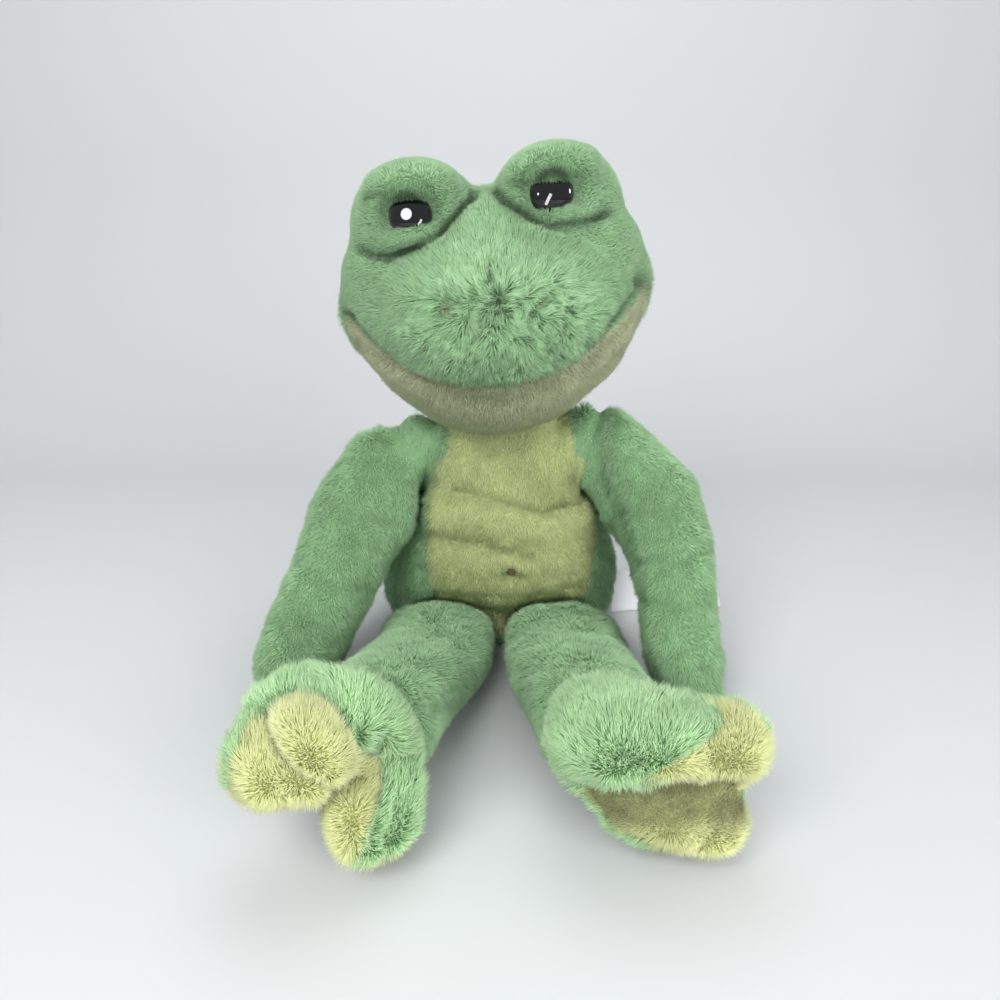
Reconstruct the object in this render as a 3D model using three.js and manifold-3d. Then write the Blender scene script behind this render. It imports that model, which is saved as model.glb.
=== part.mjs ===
// A long-limbed plush frog that sits upright: stuffed head, body, arms, legs and feet, sewn together.
// Millimetres, +Z up, the frog faces -Y. Left and right are the frog's own, so its left is at +X.
// The origin is the middle of the flat that the body rests on.
import * as THREE from "three";
import { mergeVertices } from "three/addons/utils/BufferGeometryUtils.js";
import Module from "manifold-3d";

const wasm = await Module();
wasm.setup();

// Fabric and fit
const skinWall = 4; // plush fabric with its pile
const seamGap = 0.3; // between pieces that touch
const swingGap = 1; // round a limb's end, all along its swing
const overrun = 60; // how far a cutting block runs past what it cuts
const mergeDistance = 0.0001;

// Body, from the seat to the shoulders
const seatPress = 0.5; // how far the seat flattens what rests on it
const bodyHeight = 143;
const bodyHalfWidth = 80;
const bodyHalfDepth = 56;
const pelletDepth = 26;
const bodyShares = [
  // height, half width, half depth, lean back
  [0, 0.8, 0.8, 0],
  [0.07, 0.94, 0.93, 0],
  [0.22, 1, 1, 0],
  [0.42, 0.93, 0.98, 0.02],
  [0.62, 0.72, 0.86, 0.04],
  [0.8, 0.61, 0.71, 0.06],
  [0.93, 0.49, 0.58, 0.06],
  [1, 0.3, 0.38, 0.06],
];

// Belly panel, an outline seen from the front, in shares of the body
const bellyHalfWidth = 51;
const bellyAside = 7;
const bellyTop = 141;
const bellyBottom = 9;
const bellyShares = [
  // half width, height between bottom and top
  [0.1, 0],
  [0.55, 0.05],
  [0.9, 0.2],
  [1, 0.38],
  [0.98, 0.55],
  [0.94, 0.7],
  [0.88, 0.8],
  [0.74, 0.86],
  [0.72, 1],
];
const navelHeight = 53;
const stitchRadius = 1.6;
const stitchLength = 6;

// Neck, a round of filling that the head turns and nods on
const neckHeight = 139;
const neckRadius = 34;
const neckGap = 0.9; // between the neck's round and the head's hollow
const neckMouthShare = 0.62;
const neckBaseShare = 0.5; // how deep the neck's round reaches into the body

// Head, measured about its own middle
const headHalfWidth = 94;
const headHalfDepth = 56;
const headHalfHeight = 62;
const headSoftness = 7;
const headForward = 14;
const headHeight = 208;
const headAside = 2;
const headPitchAngle = 10;
const headRollAngle = 6.5;
const cranium = { at: [0, -0.04, 0.16], half: [0.86, 1, 0.92] };
const cheeks = { at: [0, -0.28, 0.1], half: [0.98, 0.88, 0.66] };
const muzzle = { at: [0, -0.75, -0.26], half: [0.68, 0.78, 0.6] };
const throat = { at: [0, -0.3, -0.44], half: [0.81, 0.8, 0.7] };
const lipDrop = 48;
const lipCornerDrop = -8;
const lipHalfWidth = 94;
const chinBackShare = 0.16;

// Eye mounds and eyes
const moundHalfWidth = 36;
const moundHalfDepth = 32;
const moundHalfHeight = 37;
const moundApart = 39;
const moundForward = 26;
const moundRise = 45;
const leftEyeIn = 3.5; // the left eye is sewn on a little nearer the middle, and higher
const leftEyeUp = 3;
const eyeRadius = 11.5;
const eyeDome = 7;
const eyeFlange = 1.6;
const eyeSink = 2;
const stemRadius = 2.2;
const stemLength = 9;
const washerRadius = 6;
const washerThickness = 1.8;
const lidRadius = 4.4;
const lidSpanAngle = 84;
const nostrilApart = 17;
const nostrilDrop = 5;

// Arms
const armLength = 190;
const armHalfWidth = 31;
const armHalfDepth = 25;
const shoulderApart = 46;
const shoulderHeight = 117;
const armFlareAngle = 42; // the cone that the upper arm stays in as the arm swings
const fingerHalfWidth = 8.5;
const fingerHalfLength = 20;
const fingerSpread = 11;
const rightArmShares = {
  places: [
    [0, 0, 0],
    [-0.145, -0.053, -0.032],
    [-0.208, -0.172, -0.16],
    [-0.262, -0.33, -0.31],
    [-0.318, -0.46, -0.42],
    [-0.34, -0.57, -0.475],
    [-0.345, -0.62, -0.49],
  ],
  halves: [
    [0.74, 0.82],
    [0.88, 0.88],
    [1.05, 0.96],
    [0.92, 0.94],
    [0.86, 0.9],
    [0.82, 0.86],
    [0.76, 0.8],
  ],
};
const leftArmShares = {
  places: [
    [0, 0, 0],
    [0.165, -0.053, -0.02],
    [0.252, -0.165, -0.12],
    [0.288, -0.3, -0.25],
    [0.294, -0.43, -0.36],
    [0.287, -0.54, -0.46],
    [0.292, -0.6, -0.49],
  ],
  halves: [
    [0.74, 0.82],
    [0.87, 0.88],
    [1, 0.96],
    [0.89, 0.93],
    [0.76, 0.88],
    [0.74, 0.86],
    [0.73, 0.8],
  ],
};

// Legs
const legLength = 165;
const legHalfWidth = 37;
const legHalfHeight = 23;
const hipApart = 38.5;
const hipForward = 46;
const legSwingAngle = 27; // the cone that the thigh stays in as the leg swings
const legWidthShares = [0.98, 1, 0.98, 0.9, 0.8];
const legHeightShares = [0.68, 0.74, 0.9, 1, 1];
const rightLegShares = [
  [0, 0, 0],
  [0, -0.25, 0.01],
  [-0.05, -0.5, 0.05],
  [-0.1, -0.76, 0.11],
  [-0.1, -0.95, 0.14],
];
const leftLegShares = [
  [0, 0, 0],
  [0, -0.25, 0.01],
  [0.01, -0.5, 0.05],
  [0.04, -0.74, 0.09],
  [0.04, -0.92, 0.11],
];

// Feet: toes and heel as shares of the foot's half width, about the middle of the foot
const footHalf = 42;
const footSoftness = 3;
const footSwingAngle = 18;
const rightFootShares = {
  at: [-1.65, -5.7, 1.04],
  lobes: [
    { at: [-0.52, -0.22, 0.24], half: [0.42, 0.46, 0.44] },
    { at: [-0.02, -0.36, 0.46], half: [0.38, 0.42, 0.54] },
    { at: [0.32, -0.12, -0.42], half: [0.34, 0.42, 0.54] },
    { at: [0.56, 0.1, -0.46], half: [0.36, 0.42, 0.5] },
    { at: [0.36, 0.3, 0], half: [0.56, 0.5, 0.8] },
    { at: [-0.1, 0.12, 0.56], half: [0.68, 0.42, 0.5] },
  ],
  sole: [-0.2, -0.94, -0.28],
  soleShift: 0.16,
};
const leftFootShares = {
  at: [1.52, -5.6, 0.95],
  lobes: [
    { at: [-0.16, -0.1, 0.44], half: [0.88, 0.54, 0.44] },
    { at: [0.66, -0.1, 0.4], half: [0.4, 0.46, 0.45] },
    { at: [0.16, 0, -0.38], half: [0.76, 0.44, 0.42] },
    { at: [0.54, -0.08, -0.52], half: [0.38, 0.4, 0.34] },
    { at: [-0.5, 0.36, 0.2], half: [0.62, 0.56, 0.66] },
  ],
  sole: [0.72, -0.66, -0.22],
  soleShift: 0.3,
};

// Label, sewn into the side seam, standing on its edge on the seat and leaning back at its end
const labelLength = 78;
const labelWidth = 28;
const labelThickness = 0.8;
const labelLift = 0.4;
const labelBack = 6;
const labelRootAngle = 82;
const labelEndAngle = 34;
const labelShares = [
  // along, back
  [0, 0],
  [0.25, 0.05],
  [0.5, 0.01],
  [0.75, 0.06],
  [1, 0.12],
];

// Fineness of the forms
const headDetail = 4;
const footDetail = 3;
const ballDetail = 3;
const moundDetail = 2;
const innerDetail = 2;
const tipDetail = 1;
const mouthDetail = 0; // where a skin opens into the piece that it is sewn to
const domeSteps = 4;
const limbSides = 12;
const socketSides = 16;
const innerSides = 7;
const bodySides = 16;
const bodyRings = 9;
const neckSides = 22;
const coreSides = 14;
const coreRings = 6;
const capRings = 2;
const limbRings = 6;
const innerRings = 4;
const lidSides = 5;
const lidRings = 4;
const lidPlaces = 7;
const lipSteps = 16;
const labelSteps = 15;
const neckArcSteps = 8;
const plugArcSteps = 4;
const searchSteps = 40; // halvings, when a surface is searched for

const pileGreen = { color: 0x7fb886, roughness: 0.95, metalness: 0 };
const pileLime = { color: 0xbcc487, roughness: 0.95, metalness: 0 };
const pileSage = { color: 0xa6a884, roughness: 0.95, metalness: 0 };
const fibreWhite = { color: 0xf2f2ee, roughness: 1, metalness: 0 };
const glossBlack = { color: 0x0a0a0c, roughness: 0.08, metalness: 0 };
const lockWhite = { color: 0xe6e6e2, roughness: 0.5, metalness: 0 };
const threadBrown = { color: 0x4b4a33, roughness: 0.8, metalness: 0 };
const pouchCloth = { color: 0xcfcabc, roughness: 0.95, metalness: 0 };
const satinWhite = { color: 0xe9e7ee, roughness: 0.45, metalness: 0 };

const side = { right: -1, left: 1 };
const toRadians = THREE.MathUtils.degToRad;
const vector = (x, y, z) => new THREE.Vector3(x, y, z);
const xAxis = vector(1, 0, 0);
const yAxis = vector(0, 1, 0);
const zAxis = vector(0, 0, 1);
const forward = vector(0, -1, 0);

/** A geometry with its places only, shared vertices merged. */
function bare(geometry) {
  const plain = geometry.clone();
  plain.deleteAttribute("normal");
  plain.deleteAttribute("uv");
  return mergeVertices(plain, mergeDistance);
}

/** A closed geometry as a solid that can be joined and cut. */
function solidOf(geometry) {
  const plain = bare(geometry);
  return new wasm.Manifold(
    new wasm.Mesh({
      numProp: 3,
      vertProperties: new Float32Array(plain.getAttribute("position").array),
      triVerts: new Uint32Array(plain.index.array),
    }),
  );
}

/** The largest body of a solid, as a geometry: cutting can leave slivers beside it. */
function geometryOf(solid) {
  const bodies = solid.decompose().sort((a, b) => b.volume() - a.volume());
  const { numProp, vertProperties, triVerts } = bodies[0].getMesh();
  const places = [];
  for (let i = 0; i < vertProperties.length; i += numProp) {
    places.push(...vertProperties.slice(i, i + 3));
  }
  const geometry = new THREE.BufferGeometry();
  geometry.setAttribute("position", new THREE.Float32BufferAttribute(places, 3));
  geometry.setIndex([...triVerts]);
  geometry.computeVertexNormals();
  return geometry;
}

/** A named piece in its finish. */
function piece(name, solid, finish) {
  const mesh = new THREE.Mesh(geometryOf(solid), new THREE.MeshStandardMaterial(finish));
  mesh.name = name;
  return mesh;
}

/** Signed distance from a point to an ellipsoid lobe, close to true near its surface. */
function lobeDistance(point, lobe, grow) {
  const from = point.clone().sub(lobe.at);
  const half = lobe.half.clone().addScalar(grow);
  const scaled = from.clone().divide(half);
  const reach = scaled.length();
  return reach < Number.EPSILON ? -half.x : (reach * (reach - 1)) / scaled.divide(half).length();
}

/** Signed distance to lobes that flow softly into each other. */
function formDistance(point, lobes, softness, grow) {
  const sum = lobes.reduce(
    (total, lobe) => total + Math.exp(-lobeDistance(point, lobe, grow) / softness),
    0,
  );
  return -softness * Math.log(sum);
}

/** How far the form reaches from its middle in one direction. */
function reachOf({ lobes, middle, softness }, direction, grow) {
  const at = (reach) => middle.clone().addScaledVector(direction, reach);
  let near = 0;
  let far = Math.max(
    ...lobes.map((lobe) => lobe.at.distanceTo(middle) + Math.max(...lobe.half.toArray())),
  ) * 2;
  for (let i = 0; i < searchSteps; i += 1) {
    const half = (near + far) / 2;
    if (formDistance(at(half), lobes, softness, grow) < 0) near = half;
    else far = half;
  }
  return near;
}

/** A stuffed form: its lobes, read out as a reach in every direction from its middle. */
function stuffedForm(form, detail, grow = 0) {
  const ball = bare(new THREE.IcosahedronGeometry(1, detail));
  const position = ball.getAttribute("position");
  for (let i = 0; i < position.count; i += 1) {
    const direction = new THREE.Vector3().fromBufferAttribute(position, i).normalize();
    const place = direction.clone().multiplyScalar(reachOf(form, direction, grow)).add(form.middle);
    position.setXYZ(i, ...place);
  }
  return ball;
}

/** Closes a stack of rings with a point at each end. */
function closedRings(rings, firstPole, lastPole) {
  const around = rings[0].length;
  const points = [firstPole, ...rings.flat(), lastPole];
  const last = points.length - 1;
  const faces = [];
  for (let j = 0; j < around; j += 1) {
    const next = (j + 1) % around;
    faces.push(0, 1 + next, 1 + j);
    for (let i = 0; i + 1 < rings.length; i += 1) {
      const low = 1 + i * around;
      const high = low + around;
      faces.push(low + j, low + next, high + j, low + next, high + next, high + j);
    }
    faces.push(last, last - around + j, last - around + next);
  }
  const geometry = new THREE.BufferGeometry();
  geometry.setAttribute(
    "position",
    new THREE.Float32BufferAttribute(points.flatMap((p) => p.toArray()), 3),
  );
  geometry.setIndex(faces);
  return geometry;
}

/** A stuffed limb: oval sections along a smooth path, with domed ends. */
function limbForm({ places, halves, across }, sides, rings, grow = 0) {
  const path = new THREE.CatmullRomCurve3(places);
  const girth = new THREE.CatmullRomCurve3(halves.map(([wide, deep]) => vector(wide, deep, 0)));
  const ring = (t, dome) => {
    const tangent = path.getTangent(t);
    const wide = across.clone().addScaledVector(tangent, -across.dot(tangent)).normalize();
    const deep = tangent.clone().cross(wide);
    const half = girth.getPoint(t).addScalar(grow);
    const centre = path.getPoint(t).addScaledVector(tangent, half.y * Math.sin(dome));
    return Array.from({ length: sides }, (_, j) => {
      const turn = (2 * Math.PI * j) / sides;
      return centre
        .clone()
        .addScaledVector(wide, half.x * Math.cos(dome) * Math.cos(turn))
        .addScaledVector(deep, half.y * Math.cos(dome) * Math.sin(turn));
    });
  };
  const pole = (t, way) =>
    path.getPoint(t).addScaledVector(path.getTangent(t), way * (girth.getPoint(t).y + grow));
  const dome = (i) => (Math.PI / 2) * (i / (capRings + 1));
  const stack = [];
  for (let i = capRings; i > 0; i -= 1) stack.push(ring(0, -dome(i)));
  for (let i = 0; i <= rings; i += 1) stack.push(ring(i / rings, 0));
  for (let i = 1; i <= capRings; i += 1) stack.push(ring(1, dome(i)));
  return closedRings(stack, pole(0, -1), pole(1, 1));
}

/** A ball about a point. */
function ball(middle, radius, detail) {
  return solidOf(new THREE.IcosahedronGeometry(radius, detail).translate(...middle));
}

/** A block with its middle at a point. */
function block(size, middle) {
  return solidOf(new THREE.BoxGeometry(...size).translate(...middle));
}

/** A solid with all below the seat cut away. */
function aboveSeat(solid) {
  const size = 4 * bodyHeight;
  return solid.subtract(block([2 * size, 2 * size, size], [0, 0, -size / 2]));
}

/** Lobe tables of shares as places and sizes. */
function lobesFrom(table, sizes) {
  return table.map(({ at, half }) => ({
    at: vector(...at).multiply(sizes),
    half: vector(...half).multiply(sizes),
  }));
}

/** The room for a limb's domed end, and for its swing to any side of a level line. */
function swingRoom(pivot, [halfWidth, halfHeight], way, swing) {
  const wide = halfWidth / halfHeight;
  const touch = halfHeight * Math.cos(toRadians(swing));
  const flare = touch + overrun * Math.tan(toRadians(swing));
  const cone = new THREE.CylinderGeometry(flare, touch, overrun, socketSides)
    .translate(0, overrun / 2 - halfHeight * Math.sin(toRadians(swing)), 0)
    .applyQuaternion(new THREE.Quaternion().setFromUnitVectors(yAxis, way));
  const end = new THREE.IcosahedronGeometry(halfHeight, ballDetail);
  const [room, around] = [end, cone].map((geometry) =>
    solidOf(geometry.scale(wide, 1, 1).translate(...pivot)),
  );
  return room.add(around);
}

const neckPivot = vector(0, 0, neckHeight);

// Arms

function armPath(shares, sideSign) {
  const shoulder = vector(sideSign * shoulderApart, 0, shoulderHeight);
  const places = shares.places.map(([x, y, z]) =>
    vector(x, y, z).multiplyScalar(armLength).add(shoulder),
  );
  const halves = shares.halves.map(([wide, deep]) => [wide * armHalfWidth, deep * armHalfDepth]);
  return { places, halves, across: xAxis, pivot: shoulder };
}

/** Three short fingers, side by side along the seat at the end of the arm. */
function fingers(arm) {
  const tip = arm.places.at(-1);
  return [-1, 0, 1].map((k) => {
    const finger = new THREE.IcosahedronGeometry(1, tipDetail)
      .scale(fingerHalfWidth, fingerHalfLength, fingerHalfWidth)
      .translate(k * fingerSpread, -fingerHalfLength, 0)
      .rotateZ(Math.atan2(tip.x - arm.pivot.x, Math.abs(tip.y)) / 2)
      .translate(tip.x, tip.y, fingerHalfWidth + seamGap);
    return solidOf(finger);
  });
}

const arms = {
  right: armPath(rightArmShares, side.right),
  left: armPath(leftArmShares, side.left),
};

// Legs

function legPath(shares, sideSign) {
  const hip = vector(sideSign * hipApart, -hipForward, legHalfHeight * legHeightShares[0]);
  const places = shares.map(([x, y, z]) => vector(x, y, z).multiplyScalar(legLength).add(hip));
  const halves = legWidthShares.map((wide, i) => [
    wide * legHalfWidth,
    legHeightShares[i] * legHalfHeight,
  ]);
  return { places, halves, across: xAxis, pivot: hip };
}

const legs = {
  right: legPath(rightLegShares, side.right),
  left: legPath(leftLegShares, side.left),
};

// Feet

function footForm(shares, leg) {
  const middle = vector(...shares.at).multiplyScalar(footHalf);
  const sizes = vector(footHalf, footHalf, footHalf);
  const lobes = lobesFrom(shares.lobes, sizes).map(({ at, half }) => ({
    at: at.add(middle),
    half,
  }));
  const sole = vector(...shares.sole).normalize();
  return {
    lobes,
    middle,
    softness: footSoftness,
    sole,
    shift: shares.soleShift,
    ankle: leg.places.at(-1),
  };
}

const feet = {
  right: footForm(rightFootShares, legs.right),
  left: footForm(leftFootShares, legs.left),
};

/** Everything on the sole's side of a foot, from a plane through the foot. */
function soleSide(foot, gap) {
  const size = 4 * footHalf;
  const geometry = new THREE.BoxGeometry(size, size, size).translate(0, 0, size / 2);
  const turn = new THREE.Quaternion().setFromUnitVectors(zAxis, foot.sole);
  const start = foot.middle
    .clone()
    .addScaledVector(foot.sole, foot.shift * footHalf + gap);
  return solidOf(geometry.applyQuaternion(turn).translate(...start));
}

function footPieces(name, foot, leg) {
  const ankleRoom = leg.halves.at(-1).map((half) => half + swingGap);
  const room = swingRoom(foot.ankle, ankleRoom, yAxis, footSwingAngle);
  const outer = aboveSeat(solidOf(stuffedForm(foot, footDetail))).subtract(room);
  const core = solidOf(stuffedForm(foot, innerDetail, -skinWall));
  const skin = outer.subtract(core);
  const filling = solidOf(stuffedForm(foot, innerDetail, -skinWall - seamGap));
  return [
    piece(`foot_upper_${name}`, skin.subtract(soleSide(foot, -seamGap / 2)), pileGreen),
    piece(`foot_sole_${name}`, skin.intersect(soleSide(foot, seamGap / 2)), pileLime),
    piece(`foot_filling_${name}`, aboveSeat(filling).subtract(room), fibreWhite),
  ];
}

function legPieces(name, leg) {
  const outer = aboveSeat(solidOf(limbForm(leg, limbSides, limbRings)));
  const core = solidOf(limbForm(leg, innerSides, innerRings, -skinWall));
  const filling = solidOf(limbForm(leg, innerSides, innerRings, -skinWall - seamGap));
  const rootHalf = leg.halves[0][1];
  const mouth = ball(leg.pivot.clone().add(vector(0, rootHalf, 0)), rootHalf / 2, mouthDetail);
  return [
    piece(`leg_skin_${name}`, outer.subtract(core).subtract(mouth), pileGreen),
    piece(`leg_filling_${name}`, filling, fibreWhite),
  ];
}

function armPieces(name, arm) {
  const limb = aboveSeat(solidOf(limbForm(arm, limbSides, limbRings)));
  const outer = fingers(arm).reduce((hand, finger) => hand.add(finger), limb);
  const core = solidOf(limbForm(arm, innerSides, innerRings, -skinWall));
  const filling = solidOf(limbForm(arm, innerSides, innerRings, -skinWall - seamGap));
  const inward = arm.places[0].clone().sub(arm.places[1]).normalize();
  const rootHalf = arm.halves[0][1];
  const mouth = ball(arm.pivot.clone().addScaledVector(inward, rootHalf), rootHalf / 2, mouthDetail);
  return [
    piece(`arm_skin_${name}`, outer.subtract(core).subtract(mouth), pileGreen),
    piece(`arm_filling_${name}`, filling, fibreWhite),
  ];
}

// Body

const bodyMiddles = new THREE.CatmullRomCurve3(
  bodyShares.map(([height, , , lean]) =>
    vector(0, lean * bodyHalfDepth, height * (bodyHeight + seatPress) - seatPress),
  ),
);
const bodyHalves = new THREE.CatmullRomCurve3(
  bodyShares.map(([, wide, deep]) => vector(wide * bodyHalfWidth, deep * bodyHalfDepth, 0)),
);

/** The body's form: oval sections from the seat to the shoulders. */
function bodyForm(sides, steps, grow = 0) {
  const rings = Array.from({ length: steps + 1 }, (_, i) => {
    const middle = bodyMiddles.getPoint(i / steps);
    const half = bodyHalves.getPoint(i / steps).addScalar(grow);
    if (i === 0) middle.z -= grow;
    if (i === steps) middle.z += grow;
    return Array.from({ length: sides }, (_, j) => {
      const turn = (2 * Math.PI * j) / sides;
      return vector(half.x * Math.cos(turn), half.y * Math.sin(turn), 0).add(middle);
    });
  });
  const ends = [rings[0], rings.at(-1)].map((ring) =>
    ring.reduce((sum, p) => sum.add(p), vector(0, 0, 0)).divideScalar(sides),
  );
  return closedRings(rings, ...ends);
}

/** The body with the round of the neck on top. */
function bodySolid(sides, rings, detail, grow) {
  const round = ball(neckPivot, neckRadius + grow, detail);
  return aboveSeat(solidOf(bodyForm(sides, rings, grow)).add(round));
}

/** The belly panel's outline, pushed through the front of the body. */
function bellyBlock(gap) {
  const outline = (way) =>
    bellyShares.map(
      ([wide, high]) =>
        new THREE.Vector2(
          bellyAside + way * (wide * bellyHalfWidth + gap),
          bellyBottom - gap + high * (bellyTop - bellyBottom + 2 * gap),
        ),
    );
  const shape = new THREE.Shape([...outline(1), ...outline(-1).reverse()]);
  const geometry = new THREE.ExtrudeGeometry(shape, {
    depth: bodyHalfDepth + overrun,
    bevelEnabled: false,
  });
  return solidOf(geometry.rotateX(Math.PI / 2));
}

/** A short stitched bar, lying across. */
function stitch(middle, grow) {
  const reach = stitchLength / 2 - stitchRadius;
  const places = [-reach, reach].map((aside) => middle.clone().addScaledVector(xAxis, aside));
  const halves = places.map(() => [stitchRadius, stitchRadius]);
  return solidOf(limbForm({ places, halves, across: zAxis }, innerSides, 1, grow));
}

/** Where the front of the body lies at a height. */
function frontOfBody(height) {
  let low = 0;
  let high = 1;
  for (let i = 0; i < searchSteps; i += 1) {
    const half = (low + high) / 2;
    if (bodyMiddles.getPoint(half).z < height) low = half;
    else high = half;
  }
  return bodyMiddles.getPoint(low).y - bodyHalves.getPoint(low).y;
}

function bodyPieces() {
  const socket = ({ pivot, halves }, way, swing) =>
    swingRoom(pivot, halves[0].map((half) => half + swingGap), way, swing);
  const sockets = [
    socket(arms.right, xAxis.clone().negate(), armFlareAngle),
    socket(arms.left, xAxis, armFlareAngle),
    socket(legs.right, forward, legSwingAngle),
    socket(legs.left, forward, legSwingAngle),
  ];
  const cleared = (solid) => sockets.reduce((rest, socket) => rest.subtract(socket), solid);
  const mouthRadius = neckRadius * neckMouthShare;
  const neckMouth = solidOf(
    new THREE.CylinderGeometry(mouthRadius, mouthRadius, 2 * neckRadius, neckSides)
      .rotateX(Math.PI / 2)
      .translate(0, 0, neckHeight + neckRadius),
  );
  const inside = (grow) => bodySolid(coreSides, coreRings, innerDetail, grow);
  const skin = cleared(bodySolid(bodySides, bodyRings, innerDetail, 0))
    .subtract(inside(-skinWall))
    .subtract(neckMouth);
  const navelAt = vector(bellyAside, frontOfBody(navelHeight), navelHeight);
  const panel = skin.intersect(bellyBlock(-seamGap / 2)).subtract(stitch(navelAt, seamGap));
  const stuffing = cleared(inside(-skinWall - seamGap));
  const wide = 4 * bodyHalfWidth;
  const high = 2 * bodyHeight;
  const lower = (top) => block([wide, wide, high], [0, 0, top - high / 2]);
  const neckRoom = neckSolid(2 * seamGap);
  return [
    piece("body_skin", skin.subtract(bellyBlock(seamGap / 2)), pileGreen),
    piece("belly_panel", panel, pileLime),
    piece("navel_stitch", stitch(navelAt, 0), threadBrown),
    piece("pellet_pouch", stuffing.intersect(lower(pelletDepth)), pouchCloth),
    piece(
      "body_filling",
      stuffing.subtract(lower(pelletDepth + seamGap)).subtract(neckRoom),
      fibreWhite,
    ),
    labelPiece(),
  ];
}

/** The neck's filling: round in the body, with a plug that fills the neck's mouth. */
function neckSolid(grow) {
  const inner = neckRadius - skinWall - swingGap + grow;
  const plugRadius = neckRadius * neckMouthShare - seamGap + grow;
  const rim = Math.sqrt(neckRadius ** 2 - plugRadius ** 2);
  const base = -inner * neckBaseShare;
  const arc = (radius, from, to, steps) =>
    Array.from({ length: steps + 1 }, (_, i) => {
      const angle = from + ((to - from) * i) / steps;
      return new THREE.Vector2(radius * Math.cos(angle), radius * Math.sin(angle));
    });
  const lowAngle = Math.asin(base / inner);
  const plugAngle = Math.acos(plugRadius / inner);
  const topAngle = Math.asin(rim / neckRadius);
  const profile = [
    new THREE.Vector2(0, base),
    ...arc(inner, lowAngle, plugAngle, neckArcSteps),
    ...arc(neckRadius, topAngle, Math.PI / 2, plugArcSteps).map((p, i) =>
      i === plugArcSteps ? new THREE.Vector2(0, neckRadius) : p,
    ),
  ];
  return solidOf(
    new THREE.LatheGeometry(profile, neckSides).rotateX(Math.PI / 2).translate(...neckPivot),
  );
}

/** A satin label, sewn in at the side, with its lower edge on the seat. */
function labelPiece() {
  const line = new THREE.SplineCurve(labelShares.map(([x, y]) => new THREE.Vector2(x, y)));
  const rings = line.getPoints(labelSteps).map((p) => {
    const lean = toRadians(labelRootAngle + (labelEndAngle - labelRootAngle) * p.x);
    const up = vector(0, Math.cos(lean), Math.sin(lean)).multiplyScalar(labelWidth);
    const through = vector(0, -Math.sin(lean), Math.cos(lean)).multiplyScalar(labelThickness);
    const low = vector(
      bodyHalfWidth - skinWall + p.x * labelLength,
      labelBack + p.y * labelLength,
      labelLift,
    );
    return [low, low.clone().add(up), low.clone().add(up).add(through), low.clone().add(through)];
  });
  const ends = [rings[0], rings.at(-1)].map((ring) =>
    ring.reduce((sum, p) => sum.add(p), vector(0, 0, 0)).divideScalar(ring.length),
  );
  const room = bodySolid(bodySides, bodyRings, innerDetail, seamGap);
  return piece("side_label", solidOf(closedRings(rings, ...ends)).subtract(room), satinWhite);
}

// Head, built about its own middle and set on the neck by its group

const headSizes = vector(headHalfWidth, headHalfDepth, headHalfHeight);
const headPlace = new THREE.Matrix4().compose(
  vector(-headAside, -headForward, headHeight),
  new THREE.Quaternion().setFromEuler(
    new THREE.Euler(toRadians(-headPitchAngle), toRadians(-headRollAngle), 0, "YXZ"),
  ),
  vector(1, 1, 1),
);
const neckInHead = neckPivot.clone().applyMatrix4(headPlace.clone().invert());
const headForm = {
  lobes: lobesFrom([cranium, cheeks, muzzle, throat], headSizes),
  middle: vector(0, 0, 0),
  softness: headSoftness,
};

/** The room under the lip: all below a smile-shaped line, back to the chin's seam. */
function chinBlock(gap) {
  const curve = [];
  for (let i = 0; i <= lipSteps; i += 1) {
    const x = (2 * i) / lipSteps - 1;
    const rise = (lipDrop - lipCornerDrop) * x * x;
    curve.push(new THREE.Vector2(x * lipHalfWidth, -lipDrop + rise + gap));
  }
  const wide = lipHalfWidth + overrun;
  const low = -headHalfHeight - overrun;
  const shape = new THREE.Shape([
    new THREE.Vector2(-wide, low),
    new THREE.Vector2(wide, low),
    new THREE.Vector2(wide, curve.at(-1).y),
    ...curve.reverse(),
    new THREE.Vector2(-wide, -lipCornerDrop + gap),
  ]);
  const depth = 2 * headHalfDepth + overrun;
  const geometry = new THREE.ExtrudeGeometry(shape, { depth, bevelEnabled: false });
  return solidOf(
    geometry.rotateX(Math.PI / 2).translate(0, chinBackShare * headHalfDepth + gap, 0),
  );
}

function moundForm(sideSign) {
  return {
    lobes: [
      {
        at: vector(sideSign * moundApart, -moundForward, moundRise),
        half: vector(moundHalfWidth, moundHalfDepth, moundHalfHeight),
      },
    ],
    middle: vector(sideSign * moundApart, -moundForward, moundRise),
    softness: headSoftness,
  };
}

/** A plastic eye: a dome with a flat flange and the stem that its washer locks on. */
function eyeSolid(grow, withStem) {
  const dome = Array.from({ length: domeSteps + 1 }, (_, i) => {
    const angle = (Math.PI / 2) * (i / domeSteps);
    return new THREE.Vector2(
      i === domeSteps ? 0 : (eyeRadius + grow) * Math.cos(angle),
      (eyeDome + grow) * Math.sin(angle),
    );
  });
  const foot = withStem
    ? [
        new THREE.Vector2(0, -eyeFlange - stemLength - grow),
        new THREE.Vector2(stemRadius + grow, -eyeFlange - stemLength - grow),
        new THREE.Vector2(stemRadius + grow, -eyeFlange - grow),
      ]
    : [new THREE.Vector2(0, -eyeFlange - grow)];
  const profile = [...foot, new THREE.Vector2(eyeRadius + grow, -eyeFlange - grow), ...dome];
  return new THREE.LatheGeometry(profile, limbSides).rotateX(Math.PI / 2);
}

function washerSolid(grow) {
  const inner = stemRadius + seamGap;
  const top = -eyeFlange - skinWall - seamGap + grow;
  const low = top - washerThickness - 2 * grow;
  const profile = grow
    ? [[0, low], [washerRadius + grow, low], [washerRadius + grow, top], [0, top]]
    : [[inner, low], [washerRadius, low], [washerRadius, top], [inner, top], [inner, low]];
  return new THREE.LatheGeometry(
    profile.map(([x, y]) => new THREE.Vector2(x, y)),
    limbSides,
  ).rotateX(Math.PI / 2);
}

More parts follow.
